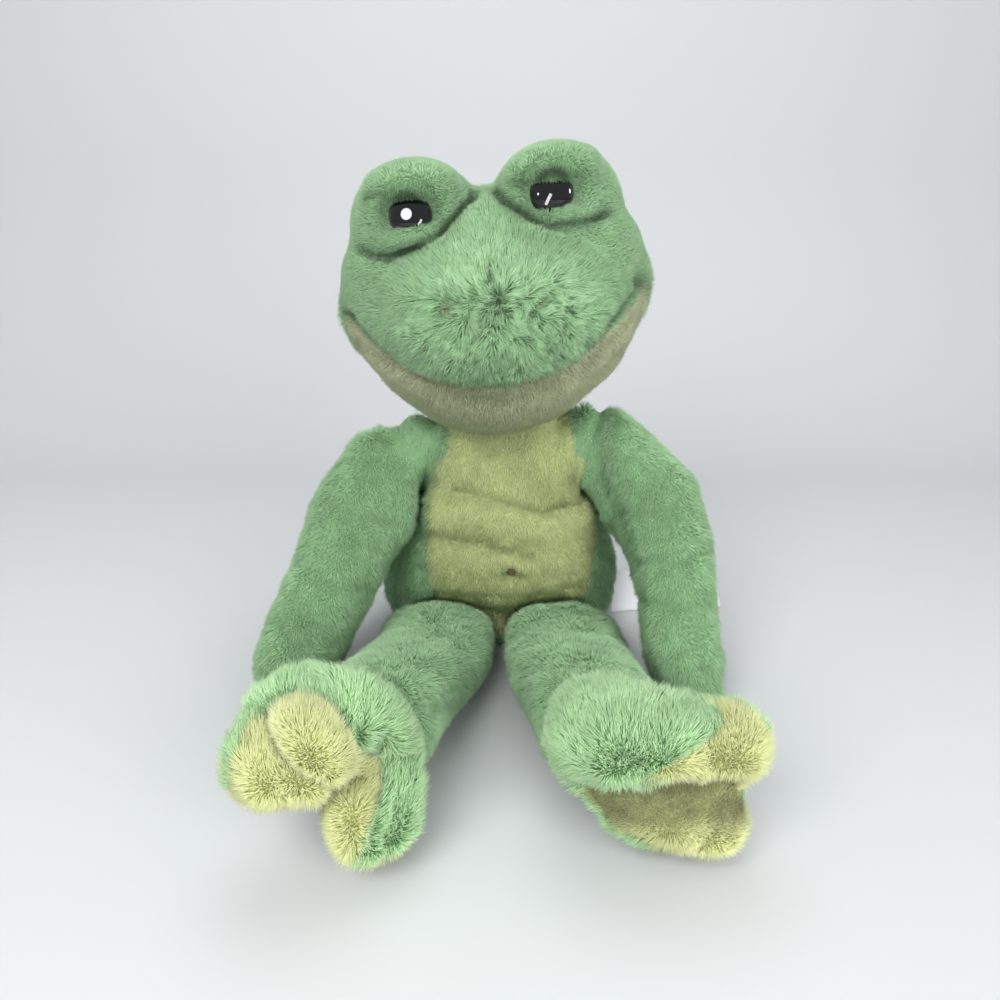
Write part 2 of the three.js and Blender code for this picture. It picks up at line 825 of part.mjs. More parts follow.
/** An eyelid: a roll of fabric in an arc over the top of the eye. */
function lidSolid() {
  const reach = eyeRadius + lidRadius / 2;
  const places = [];
  const halves = [];
  for (let i = 0; i < lidPlaces; i += 1) {
    const angle = toRadians(lidSpanAngle * ((2 * i) / (lidPlaces - 1) - 1));
    places.push(vector(reach * Math.sin(angle), reach * Math.cos(angle), lidRadius / 2));
    halves.push([lidRadius * Math.cos(angle / 2), lidRadius * Math.cos(angle / 2)]);
  }
  return limbForm({ places, halves, across: zAxis }, lidSides, lidRings);
}

function eyeSide(name, sideSign, headSolid, sewn) {
  const mound = moundForm(sideSign);
  const turn = new THREE.Matrix4().makeBasis(xAxis, zAxis, forward);
  const place = mound.middle.clone().add(sewn);
  turn.setPosition(place.addScaledVector(forward, moundHalfDepth - eyeSink));
  const set = (geometry) => solidOf(geometry.applyMatrix4(turn));
  const outer = solidOf(stuffedForm(mound, moundDetail));
  const core = solidOf(stuffedForm(mound, tipDetail, -skinWall));
  const filling = solidOf(stuffedForm(mound, tipDetail, -skinWall - seamGap));
  const eyeRoom = set(eyeSolid(seamGap, true));
  const washerRoom = set(washerSolid(seamGap));
  const lid = set(lidSolid());
  const mouth = headSolid;
  return [
    piece(`eye_mound_${name}`, outer.subtract(core).subtract(mouth).subtract(eyeRoom), pileGreen),
    piece(
      `mound_filling_${name}`,
      filling.subtract(mouth).subtract(eyeRoom).subtract(washerRoom),
      fibreWhite,
    ),
    piece(`eye_${name}`, set(eyeSolid(0, true)), glossBlack),
    piece(`eye_washer_${name}`, set(washerSolid(0)), lockWhite),
    piece(
      `eyelid_${name}`,
      lid
        .subtract(set(eyeSolid(seamGap, false)))
        .subtract(solidOf(stuffedForm(mound, moundDetail, seamGap)))
        .subtract(mouth),
      pileGreen,
    ),
  ];
}

function headPieces() {
  const outer = solidOf(stuffedForm(headForm, headDetail));
  const core = solidOf(stuffedForm(headForm, innerDetail, -skinWall));
  const filling = solidOf(stuffedForm(headForm, innerDetail, -skinWall - seamGap));
  const neckRoom = ball(neckInHead, neckRadius + neckGap, ballDetail);
  const grown = solidOf(stuffedForm(headForm, headDetail, seamGap));
  const muzzleFront = (x, z) => {
    const aim = vector(x, -headHalfDepth, z).normalize();
    return aim.multiplyScalar(reachOf(headForm, aim, 0));
  };
  const nostrils = [side.right, side.left].map((s) => muzzleFront(s * nostrilApart, -nostrilDrop));
  const skin = nostrils.reduce(
    (rest, at) => rest.subtract(stitch(at, seamGap)),
    outer.subtract(core).subtract(neckRoom),
  );
  return [
    piece("head_skin", skin.subtract(chinBlock(seamGap / 2)), pileGreen),
    piece("chin_panel", skin.intersect(chinBlock(-seamGap / 2)), pileSage),
    piece("head_filling", filling.subtract(neckRoom), fibreWhite),
    piece("nostril_right", stitch(nostrils[0], 0), threadBrown),
    piece("nostril_left", stitch(nostrils[1], 0), threadBrown),
    ...eyeSide("right", side.right, grown, vector(0, 0, 0)),
    ...eyeSide("left", side.left, grown, vector(-leftEyeIn, 0, leftEyeUp)),
  ];
}

const frog = new THREE.Group();
frog.add(...bodyPieces());
frog.add(piece("neck_filling", neckSolid(0), fibreWhite));
for (const name of ["right", "left"]) {
  frog.add(...armPieces(name, arms[name]));
  frog.add(...legPieces(name, legs[name]));
  frog.add(...footPieces(name, feet[name], legs[name]));
}
const head = new THREE.Group();
head.applyMatrix4(headPlace);
head.add(...headPieces());
frog.add(head);

export default frog;
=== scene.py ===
"""A plush frog that sits upright: stuffed forms, a pile of real strands, and its sewn details.

Metres, +Z up, the frog faces -Y, and left and right are the frog's own, so its left is at +X.
"""

import sys

import logging
import math
from dataclasses import dataclass, field
from enum import Enum
from typing import Iterable, Optional, Sequence

import bpy
import numpy as np
from bpy.types import Material, Mesh, Node, NodeSocket, Object
from mathutils import Matrix, Vector
from mathutils.bvhtree import BVHTree
from mathutils.kdtree import KDTree


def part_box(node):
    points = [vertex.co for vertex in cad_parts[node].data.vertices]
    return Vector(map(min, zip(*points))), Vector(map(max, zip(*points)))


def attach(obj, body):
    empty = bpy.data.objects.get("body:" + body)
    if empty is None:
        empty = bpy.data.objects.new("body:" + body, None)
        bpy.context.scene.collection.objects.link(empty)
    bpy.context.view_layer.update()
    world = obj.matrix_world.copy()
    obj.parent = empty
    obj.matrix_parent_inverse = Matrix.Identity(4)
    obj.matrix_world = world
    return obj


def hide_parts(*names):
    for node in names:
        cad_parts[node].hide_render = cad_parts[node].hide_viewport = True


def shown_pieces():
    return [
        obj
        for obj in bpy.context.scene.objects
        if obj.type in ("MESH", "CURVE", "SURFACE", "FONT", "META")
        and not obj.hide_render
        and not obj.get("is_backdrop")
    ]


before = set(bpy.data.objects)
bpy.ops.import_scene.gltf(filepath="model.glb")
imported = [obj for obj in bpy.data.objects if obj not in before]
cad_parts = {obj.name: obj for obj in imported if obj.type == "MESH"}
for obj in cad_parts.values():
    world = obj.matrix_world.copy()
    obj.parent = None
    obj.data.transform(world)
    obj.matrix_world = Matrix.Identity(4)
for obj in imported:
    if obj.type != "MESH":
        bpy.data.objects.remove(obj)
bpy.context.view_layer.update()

MM = 0.001
log = logging.getLogger("frog")
Colour = tuple[float, float, float]
Triple = tuple[float, float, float]
Pair = tuple[float, float]
Array = np.ndarray

# The name of a mesh's map, the room of a point with nothing near it, and the least length
# that a vector is divided by.
MAP = "OFBake"
FREE = 1.0
LEAST = 1e-12
# The size of the faces of large forms and of small ones.
VOXEL = 2.4 * MM
FINE_VOXEL = 2.0 * MM


class Side(Enum):
    """The frog's own sides, with the sign of their x."""

    RIGHT = -1
    LEFT = 1

    @property
    def word(self) -> str:
        """The side's word in the names of pieces."""
        return self.name.lower()


def unit(vectors: Array) -> Array:
    """Vectors at length one."""
    size = np.linalg.norm(vectors, axis=-1, keepdims=True)
    return vectors / np.maximum(size, LEAST)


def fade(values: Array, low: float, high: float) -> Array:
    """A smooth step from 0 at low to 1 at high."""
    t = np.clip((values - low) / (high - low), 0, 1)
    return t * t * (3 - 2 * t)


def bell(values: Array, middle: float, width: float) -> Array:
    """A smooth hump: 1 at the middle, and nearly nothing at twice the width from it."""
    return np.exp(-(((values - middle) / width) ** 2))


def linear(colour: Colour) -> tuple[float, float, float, float]:
    """Turns a screen colour into the colour that a socket takes.

    Args:
        colour: The screen colour, from 0 to 255.

    Returns:
        The linear colour, from 0 to 1, with its opacity.
    """
    share = [c / 255 for c in colour]
    lin = [c / 12.92 if c <= 0.04045 else ((c + 0.055) / 1.055) ** 2.4 for c in share]
    return (*lin, 1.0)


def scaled(colour: Colour, factor: float) -> Colour:
    """A colour made lighter or darker."""
    return tuple(c * factor for c in colour)


def colour_ramp(
    material: Material,
    value: NodeSocket,
    stops: Sequence[tuple[float, Colour]],
) -> NodeSocket:
    """Adds a colour ramp to a material.

    Args:
        material: The material.
        value: What the ramp reads.
        stops: Its places, from 0 to 1, with their screen colours.

    Returns:
        The ramp's colour.
    """
    ramp = material.node_tree.nodes.new("ShaderNodeValToRGB")
    elements = ramp.color_ramp.elements
    while len(elements) < len(stops):
        elements.new(0.5)
    for element, (at, colour) in zip(elements, stops):
        element.position = at
        element.color = linear(colour)
    material.node_tree.links.new(value, ramp.inputs["Fac"])
    return ramp.outputs["Color"]


def new_material(
    name: str, inputs: dict[str, float | tuple[float, ...]]
) -> tuple[Material, Node]:
    """Makes a material.

    Args:
        name: Its name.
        inputs: The values of its shader's sockets.

    Returns:
        The material and its shader.
    """
    made = bpy.data.materials.new(name)
    made.use_nodes = True
    shader = made.node_tree.nodes["Principled BSDF"]
    for socket, value in inputs.items():
        shader.inputs[socket].default_value = value
    return made, shader


def read_map(material: Material) -> tuple[NodeSocket, NodeSocket]:
    """Lets a material read the map of the mesh that wears it.

    Args:
        material: The material.

    Returns:
        The tone and the height along the pile.
    """
    nodes, links = material.node_tree.nodes, material.node_tree.links
    where = nodes.new("ShaderNodeUVMap")
    where.uv_map = MAP
    split = nodes.new("ShaderNodeSeparateXYZ")
    links.new(where.outputs["UV"], split.inputs[0])
    return split.outputs["X"], split.outputs["Y"]


@dataclass(frozen=True)
class Viewpoint:
    """Where the picture is taken from."""

    place: Triple = (0.0, -0.530, 0.246)
    tilt: float = 17.1
    focal: float = 850.0
    middle: float = 500.0
    sensor: float = 36.0
    picture: float = 1000.0

    def axes(self) -> tuple[Array, Array]:
        """The camera's ways ahead and up."""
        cos, sin = math.cos(math.radians(self.tilt)), math.sin(math.radians(self.tilt))
        return np.array([0, cos, -sin]), np.array([0, sin, cos])

    def seen(self, points: Array) -> Array:
        """Where points fall in the picture.

        Args:
            points: Places in metres, one a row.

        Returns:
            Two columns, across and down from the picture's top left corner.
        """
        ahead, rise = self.axes()
        away = np.asarray(points) - np.array(self.place)
        depth = away @ ahead
        across = self.middle + self.focal * away[:, 0] / depth
        return np.stack([across, self.middle - self.focal * (away @ rise) / depth], axis=1)

    def ray(self, across: float, down: float) -> Array:
        """The way from the camera through a place in the picture.

        Args:
            across: The place, from the picture's left.
            down: The place, from the picture's top.

        Returns:
            The way, at length one.
        """
        ahead, rise = self.axes()
        right = (across - self.middle) / self.focal * np.array([1.0, 0, 0])
        return unit(ahead + right + (self.middle - down) / self.focal * rise)

    def facing(self, form: "Form") -> Array:
        """How much each point of a form faces the camera: 1 straight at it, below 0 away."""
        toward = unit(np.array(self.place) - form.points)
        return (form.normals() * toward).sum(axis=1)

    def build(self) -> None:
        """Makes the camera."""
        data = bpy.data.cameras.new("viewpoint")
        data.sensor_width = self.sensor
        data.lens = self.focal / self.picture * self.sensor
        data.clip_start = 0.01
        camera = bpy.data.objects.new("viewpoint", data)
        camera.location = self.place
        camera.rotation_euler = (math.radians(90 - self.tilt), 0, 0)
        bpy.context.scene.collection.objects.link(camera)
        bpy.context.scene.camera = camera


VIEW = Viewpoint()


class Grain:
    """Smooth noise through space, the same at every run."""

    SIZE = 32

    def __init__(self, seed: int) -> None:
        """Draws the table of values from a seed."""
        self.table = np.random.default_rng(seed).uniform(-1, 1, (self.SIZE,) * 3)

    def at(self, points: Array, wave: float) -> Array:
        """The noise at points.

        Args:
            points: Places in metres, one a row.
            wave: The size of its patches, in metres.

        Returns:
            A value from -1 to 1 for each point.
        """
        place = points / wave
        low = np.floor(place).astype(np.int64)
        t = place - low
        t = t * t * (3 - 2 * t)
        low %= self.SIZE
        high = (low + 1) % self.SIZE
        total = np.zeros(len(points))
        for corner in range(8):
            pick = [(corner >> axis) & 1 for axis in range(3)]
            weight = np.ones(len(points))
            index = []
            for axis, far in enumerate(pick):
                weight *= t[:, axis] if far else 1 - t[:, axis]
                index.append((high if far else low)[:, axis])
            total += weight * self.table[index[0], index[1], index[2]]
        return total

    def slope(self, points: Array, wave: float) -> Array:
        """The noise's slope at points.

        Args:
            points: Places in metres, one a row.
            wave: The size of the noise's patches, in metres.

        Returns:
            A vector for each point, of a size near 1.
        """
        step = 0.1 * wave
        here = self.at(points, wave)
        return np.stack(
            [
                (self.at(points + step * np.eye(3)[axis], wave) - here) * 5
                for axis in range(3)
            ],
            axis=1,
        )


GRAIN = Grain(11)


@dataclass
class Form:
    """A closed surface of triangles, with what the pile needs at each of its points."""

    points: Array
    faces: Array
    coat: dict[str, Array] = field(default_factory=dict)
    shell: Optional[BVHTree] = None

    @classmethod
    def of_mesh(cls, mesh: Mesh) -> "Form":
        """Reads a mesh.

        Args:
            mesh: The mesh.

        Returns:
            Its triangles.
        """
        mesh.calc_loop_triangles()
        points = np.empty(len(mesh.vertices) * 3)
        mesh.vertices.foreach_get("co", points)
        faces = np.empty(len(mesh.loop_triangles) * 3, np.int32)
        mesh.loop_triangles.foreach_get("vertices", faces)
        return cls(points.reshape(-1, 3), faces.reshape(-1, 3).astype(np.int64))

    @classmethod
    def of_nodes(cls, *names: str) -> "Form":
        """The solids of CAD nodes, side by side in one form."""
        return cls.joined(cls.of_mesh(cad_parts[name].data) for name in names)

    @classmethod
    def joined(cls, forms: Iterable["Form"]) -> "Form":
        """Puts forms side by side in one.

        Args:
            forms: The forms.

        Returns:
            A form with the points and faces of them all.
        """
        points, faces, count = [], [], 0
        for form in forms:
            points.append(form.points)
            faces.append(form.faces + count)
            count += len(form.points)
        return cls(np.concatenate(points), np.concatenate(faces))

    @classmethod
    def ball(cls, middle: Sequence[float], half: Sequence[float]) -> "Form":
        """Makes an ellipsoid.

        Args:
            middle: Its middle.
            half: Its three half sizes.

        Returns:
            The form.
        """
        rings, sides = 24, 32
        points = [(0.0, 0.0, 1.0)]
        for i in range(1, rings):
            dip = math.pi * i / rings
            flat = math.sin(dip)
            for j in range(sides):
                turn = 2 * math.pi * j / sides
                points.append((flat * math.cos(turn), flat * math.sin(turn), math.cos(dip)))
        points.append((0.0, 0.0, -1.0))
        last = len(points) - 1
        faces = []
        for j in range(sides):
            k = (j + 1) % sides
            faces.append((0, 1 + j, 1 + k))
            for i in range(rings - 2):
                a, b = 1 + i * sides, 1 + (i + 1) * sides
                faces += [(a + j, b + j, b + k), (a + j, b + k, a + k)]
            faces.append((last, last - sides + k, last - sides + j))
        place = np.array(points) * np.array(half) + np.array(middle)
        return cls(place, np.array(faces, np.int64))

    def along(self, way: Sequence[float]) -> Array:
        """The same way for every point, one a row."""
        return np.tile(np.array(way), (len(self.points), 1))

    def mesh(self, name: str, smooth: bool = False) -> Mesh:
        """Makes a mesh of the form.

        Args:
            name: The mesh's name.
            smooth: Whether its faces are shaded as one round surface.

        Returns:
            The mesh.
        """
        made = bpy.data.meshes.new(name)
        made.vertices.add(len(self.points))
        made.vertices.foreach_set("co", self.points.astype(np.float32).ravel())
        made.loops.add(self.faces.size)
        made.loops.foreach_set("vertex_index", self.faces.astype(np.int32).ravel())
        made.polygons.add(len(self.faces))
        starts = np.arange(0, self.faces.size, 3, dtype=np.int32)
        made.polygons.foreach_set("loop_start", starts)
        made.polygons.foreach_set("loop_total", np.full(len(starts), 3, np.int32))
        made.update(calc_edges=True)
        made.validate()
        if smooth:
            made.polygons.foreach_set("use_smooth", np.ones(len(made.polygons), bool))
        return made

    def remeshed(self, voxel: float) -> "Form":
        """The outer skin of the form, made anew with even faces.

        Args:
            voxel: The size of its faces, in metres.

        Returns:
            The largest body of the new surface.
        """
        work = bpy.data.objects.new("work", self.mesh("work"))
        bpy.context.scene.collection.objects.link(work)
        remesh = work.modifiers.new("even", "REMESH")
        remesh.mode = "VOXEL"
        remesh.voxel_size = voxel
        shaped = work.evaluated_get(bpy.context.evaluated_depsgraph_get())
        result = Form.of_mesh(shaped.to_mesh())
        shaped.to_mesh_clear()
        old = work.data
        bpy.data.objects.remove(work)
        bpy.data.meshes.remove(old)
        return result.largest()

    def edges(self) -> Array:
        """Each edge once, as two columns of point numbers."""
        pairs = [self.faces[:, pair] for pair in ([0, 1], [1, 2], [2, 0])]
        return np.unique(np.sort(np.concatenate(pairs), axis=1), axis=0)

    def largest(self) -> "Form":
        """Finds the body with the most points.

        Returns:
            That body, without the bubbles inside it.
        """
        label = np.arange(len(self.points))
        edges = self.edges()
        while True:
            low = np.minimum(label[edges[:, 0]], label[edges[:, 1]])
            new = label.copy()
            np.minimum.at(new, edges[:, 0], low)
            np.minimum.at(new, edges[:, 1], low)
            new = new[new]
            if (new == label).all():
                break
            label = new
        keep = label == np.bincount(label).argmax()
        number = np.cumsum(keep) - 1
        faces = self.faces[keep[self.faces].all(axis=1)]
        return Form(self.points[keep], number[faces])

    def normals(self) -> Array:
        """Finds the way outwards at each point.

        Returns:
            A vector of length one for each point.
        """
        a, b, c = (self.points[self.faces[:, i]] for i in range(3))
        flat = np.cross(b - a, c - a)
        total = np.zeros_like(self.points)
        for i in range(3):
            for axis in range(3):
                total[:, axis] += np.bincount(self.faces[:, i], flat[:, axis], len(self.points))
        return unit(total)

    def evened(self, values: Array, rounds: int, share: float = 0.5) -> Array:
        """Evens out values over neighbouring points.

        Args:
            values: The values, one or a row for each point.
            rounds: How often each point takes from its neighbours.
            share: How much of its value it then gives up.

        Returns:
            The new values.
        """
        edges = self.edges()
        a, b = edges[:, 0], edges[:, 1]
        count = len(self.points)
        degree = np.bincount(a, minlength=count) + np.bincount(b, minlength=count)
        flat = values.reshape(count, -1).astype(float)
        for _ in range(rounds):
            sums = [
                np.bincount(a, column[b], count) + np.bincount(b, column[a], count)
                for column in flat.T
            ]
            flat = flat + share * (np.stack(sums, axis=1) / degree[:, None] - flat)
        return flat.reshape(values.shape)

    def smoothed(self, rounds: int) -> "Form":
        """The form with its small bumps evened out."""
        self.points = self.evened(self.points, rounds)
        return self

    def pushed(self, amount: Array | float) -> "Form":
        """The form with each point moved outwards by an amount, or inwards if it is below 0."""
        self.points = self.points + self.normals() * np.reshape(amount, (-1, 1))
        return self

    def inset(self, amount: Array | float, share: float = 0.3) -> "Form":
        """The form drawn inwards, by less where it is thin.

        Args:
            amount: How far, in metres, at each point.
            share: The most of the form's thickness that one side may give up.

        Returns:
            The same form.
        """
        self.shell = self.tree()
        normals = self.normals()
        skip, far = 0.2 * MM, 0.2
        thick = np.full(len(self.points), far)
        for i, (point, normal) in enumerate(zip(self.points, normals)):
            hit = self.shell.ray_cast(Vector(point - normal * skip), Vector(-normal), far)
            if hit[3] is not None:
                thick[i] = hit[3]
        limit = self.evened(np.minimum(amount, share * thick), 2)
        self.points = self.points - normals * limit[:, None]
        return self

    def following(self, before: Array, after: "Form", reach: float, under: float) -> "Form":
        """The form moved along with a surface that lies over it.

        Args:
            before: Where the surface's points were, one a row.
            after: The surface now.
            reach: How near a point must be to move, in metres.
            under: How far below the surface it then lies besides, in metres.

        Returns:
            The same form, with the surface's shadow.
        """
        tree = KDTree(len(before))
        for i, point in enumerate(before):
            tree.insert(Vector(point), i)
        tree.balance()
        found = [tree.find(Vector(point)) for point in self.points]
        index = np.array([hit[1] for hit in found])
        near = np.array([hit[2] for hit in found]) < reach
        move = (after.points - before - under * after.normals())[index] * near[:, None]
        self.points = self.points + self.evened(move, 1)
        self.coat["shadow"] = after.coat["shadow"][index] * near
        return self

    def distances(self, tree: BVHTree) -> Array:
        """How far each point is from a surface, in metres."""
        return np.array([tree.find_nearest(Vector(point))[3] for point in self.points])

    def above_seat(self, height: float = 0.6 * MM) -> "Form":
        """The form with nothing below the seat."""
        self.points[:, 2] = np.maximum(self.points[:, 2], height)
        return self

    def hollows(self, rounds: int) -> Array:
        """How hollow the surface is at each point: above 0 in creases, below 0 on bulges."""
        return ((self.evened(self.points, rounds) - self.points) * self.normals()).sum(axis=1)

    def tree(self) -> BVHTree:
        """The form as a tree for the nearest place."""
        return BVHTree.FromPolygons(self.points.tolist(), self.faces.tolist())

    def room(self, others: Sequence[BVHTree], reach: float = 30 * MM) -> Array:
        """Measures the room round the form.

        Args:
            others: Other forms, as trees.
            reach: How far off they matter, in metres.

        Returns:
            How far each point is from the nearest of them: below 0 inside one.
        """
        least = np.full(len(self.points), FREE)
        for tree in others:
            for i, point in enumerate(self.points):
                place, normal, _, distance = tree.find_nearest(Vector(point), reach)
                if place is None:
                    continue
                sign = 1 if (Vector(point) - place).dot(normal) > 0 else -1
                least[i] = min(least[i], sign * distance)
        return least


@dataclass(frozen=True)
class Stroke:
    """A line pressed into or raised on a form, drawn where the picture shows it."""

    line: tuple[Pair, ...]
    depth: float
    width: float
    # Painted shade: how much the line darkens the pile's tone and shortens its strands.
    shadow: float = 0.0

    def near(self, form: "Form") -> Array:
        """Finds the line on a form.

        Args:
            form: The form.

        Returns:
            How near each of its points is: 1 on the line, 0 far off or on the far side.
        """
        seen = VIEW.seen(form.points)
        best = np.full(len(seen), np.inf)
        for start, end in zip(self.line, self.line[1:]):
            a, b = np.array(start, float), np.array(end, float)
            along = np.clip((seen - a) @ (b - a) / max((b - a) @ (b - a), 1e-9), 0, 1)
            gap = np.linalg.norm(seen - (a + along[:, None] * (b - a)), axis=1)
            best = np.minimum(best, gap)
        return bell(best, 0, self.width) * fade(VIEW.facing(form), 0.0, 0.35)


def press(form: Form, strokes: Sequence[Stroke]) -> Form:
    """Presses strokes into a form and keeps their painted shadow, which darkens and shortens the
    pile.

    Args:
        form: The form.
        strokes: The strokes.

    Returns:
        The same form.
    """
    marks = [stroke.near(form) for stroke in strokes]
    shadow = np.zeros(len(form.points))
    for stroke, mark in zip(strokes, marks):
        shadow = np.maximum(shadow, stroke.shadow * mark)
    form.pushed(sum(stroke.depth * MM * mark for stroke, mark in zip(strokes, marks)))
    form.coat["shadow"] = shadow
    return form


def within(outline: Sequence[Pair], seen: Array) -> Array:
    """Whether picture places lie inside an outline.

    Args:
        outline: The outline's corners in the picture.
        seen: Two columns, across and down.

    Returns:
        True for each place inside.
    """
    inside = np.zeros(len(seen), bool)
    x, y = seen[:, 0], seen[:, 1]
    for (ax, ay), (bx, by) in zip(outline, (*outline[1:], outline[0])):
        if ay == by:
            continue
        crosses = (ay > y) != (by > y)
        inside ^= crosses & (x < ax + (y - ay) / (by - ay) * (bx - ax))
    return inside


@dataclass(frozen=True)
class PileFinish:
    """A plush pile: dark at its roots, light at its tips, uneven from tuft to tuft."""

    name: str
    root: Colour
    middle: Colour
    tip: Colour
    # How dark the pile's colours are at tone 0; the tone carries both uneven tufts and the shade
    # painted into creases and under the brows.
    shade: float = 0.45
    sheen: float = 0.25

    def build(self) -> Material:
        """Makes the material, which reads each strand's tone and height from its map.

        Returns:
            The material.
        """
        made, shader = new_material(
            self.name,
            {
                "Roughness": 0.9,
                "Specular IOR Level": 0.2,
                "Sheen Weight": self.sheen,
                "Sheen Roughness": 0.45,
                "Sheen Tint": linear(self.tip),
            },
        )
        tone, height = read_map(made)
        stops = ((0.0, self.root), (0.5, self.middle), (1.0, self.tip))
        mix = made.node_tree.nodes.new("ShaderNodeMix")
        mix.data_type = "RGBA"
        links = made.node_tree.links
        links.new(tone, mix.inputs["Factor"])
        for socket, factor in (("A", self.shade), ("B", 1.0)):
            ramp = colour_ramp(made, height, [(at, scaled(c, factor)) for at, c in stops])
            links.new(ramp, mix.inputs[socket])
        links.new(mix.outputs["Result"], shader.inputs["Base Color"])
        return made


@dataclass(frozen=True)
class GlossFinish:
    """A hard glossy plastic, with a lighter rim that its map marks."""

    name: str
    body: Colour
    rim: Colour
    roughness: float = 0.05

    def build(self) -> Material:
        """Makes the material.

        Returns:
            The material.
        """
        made, shader = new_material(self.name, {"Roughness": self.roughness})
        stops = [(0.0, self.body), (0.8, self.body), (0.92, self.rim), (1.0, self.rim)]
        colour = colour_ramp(made, read_map(made)[1], stops)
        made.node_tree.links.new(colour, shader.inputs["Base Color"])
        return made


@dataclass(frozen=True)
class PlainFinish:
    """A finish of one colour that varies a little, with a fine relief."""

    name: str
    light: Colour
    dark: Colour
    roughness: float
    grain: float
    relief: float
    sheen: float = 0.0
    weave: bool = False

    def build(self) -> Material:
        """Makes the material.

        Returns:
            The material.
        """
        made, shader = new_material(self.name, {"Sheen Weight": self.sheen})
        nodes, links = made.node_tree.nodes, made.node_tree.links
        texture = nodes.new("ShaderNodeTexWave" if self.weave else "ShaderNodeTexNoise")
        inputs = {"Distortion": 1.5, "Detail Scale": 4.0} if self.weave else {"Detail": 5.0}
        for socket, value in {"Scale": self.grain, **inputs}.items():
            texture.inputs[socket].default_value = value
        where = nodes.new("ShaderNodeTexCoord")
        links.new(where.outputs["Object"], texture.inputs["Vector"])
        value = texture.outputs["Fac"]
        colour = colour_ramp(made, value, [(0.3, self.dark), (0.7, self.light)])
        links.new(colour, shader.inputs["Base Color"])
        span = nodes.new("ShaderNodeMapRange")
        span.inputs["To Min"].default_value = self.roughness * 0.85
        span.inputs["To Max"].default_value = min(1.0, self.roughness * 1.15)
        links.new(value, span.inputs["Value"])
        links.new(span.outputs["Result"], shader.inputs["Roughness"])
        bump = nodes.new("ShaderNodeBump")
        bump.inputs["Strength"].default_value = 0.5
        bump.inputs["Distance"].default_value = self.relief
        links.new(value, bump.inputs["Height"])
        links.new(bump.outputs["Normal"], shader.inputs["Normal"])
        return made


class Finishes:
    """Every finish of the frog, each made once."""

    def __init__(self) -> None:
        """Makes the materials."""
        piles = {
            "green": ((140, 178, 133), (166, 208, 158), (200, 235, 190)),
            "mint": ((158, 204, 148), (186, 228, 170), (216, 246, 200)),
            "lime": ((206, 210, 144), (228, 234, 166), (246, 248, 202)),
            "belly": ((182, 190, 130), (212, 222, 160), (230, 237, 186)),
            "sage": ((184, 188, 146), (214, 218, 178), (232, 234, 200)),
        }
        self.green, self.mint, self.lime, self.belly, self.sage = (
            PileFinish(f"{name}_pile", *colours).build() for name, colours in piles.items()
        )
        self.lock = PlainFinish(
            "lock", (232, 232, 228), (222, 222, 216), 0.45, 300, 0.1 * MM
        ).build()
        self.gloss = GlossFinish("gloss", (8, 8, 9), (34, 25, 20)).build()
        self.thread = PlainFinish(
            "thread", (110, 100, 66), (58, 52, 34), 0.75, 1400, 0.3 * MM, weave=True
        ).build()
        self.satin = PlainFinish(
            "satin", (244, 242, 246), (230, 228, 236), 0.35, 1800, 0.15 * MM, sheen=0.3, weave=True
        ).build()


def add_piece(
    name: str, mesh: Mesh, body: str, slot: str, *materials: Material
) -> Object:
    """Puts a mesh in the scene as a piece that rides on a body.

    Args:
        name: The piece's name.
        mesh: Its mesh.
        body: The body that it moves with.
        slot: Not used.
        materials: Its finishes.

    Returns:
        The piece.
    """
    made = bpy.data.objects.new(name, mesh)
    bpy.context.scene.collection.objects.link(made)
    for material in materials:
        mesh.materials.append(material)
    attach(made, body)
    log.info("%s: %d faces, on %s", name, len(mesh.polygons), body)
    return made


def map_tones(mesh: Mesh, tone: Array, height: Array) -> None:
    """Writes a mesh's map.

    Args:
        mesh: The mesh.
        tone: How light each point is, from 0 to 1.
        height: How far each point is along the pile, from 0 to 1.
    """
    layer = mesh.uv_layers.new(name=MAP)
    index = np.empty(len(mesh.loops), np.int32)
    mesh.loops.foreach_get("vertex_index", index)
    pair = np.stack([tone[index], height[index]], axis=1)
    layer.data.foreach_set("uv", np.clip(pair, 0.01, 0.99).astype(np.float32).ravel())


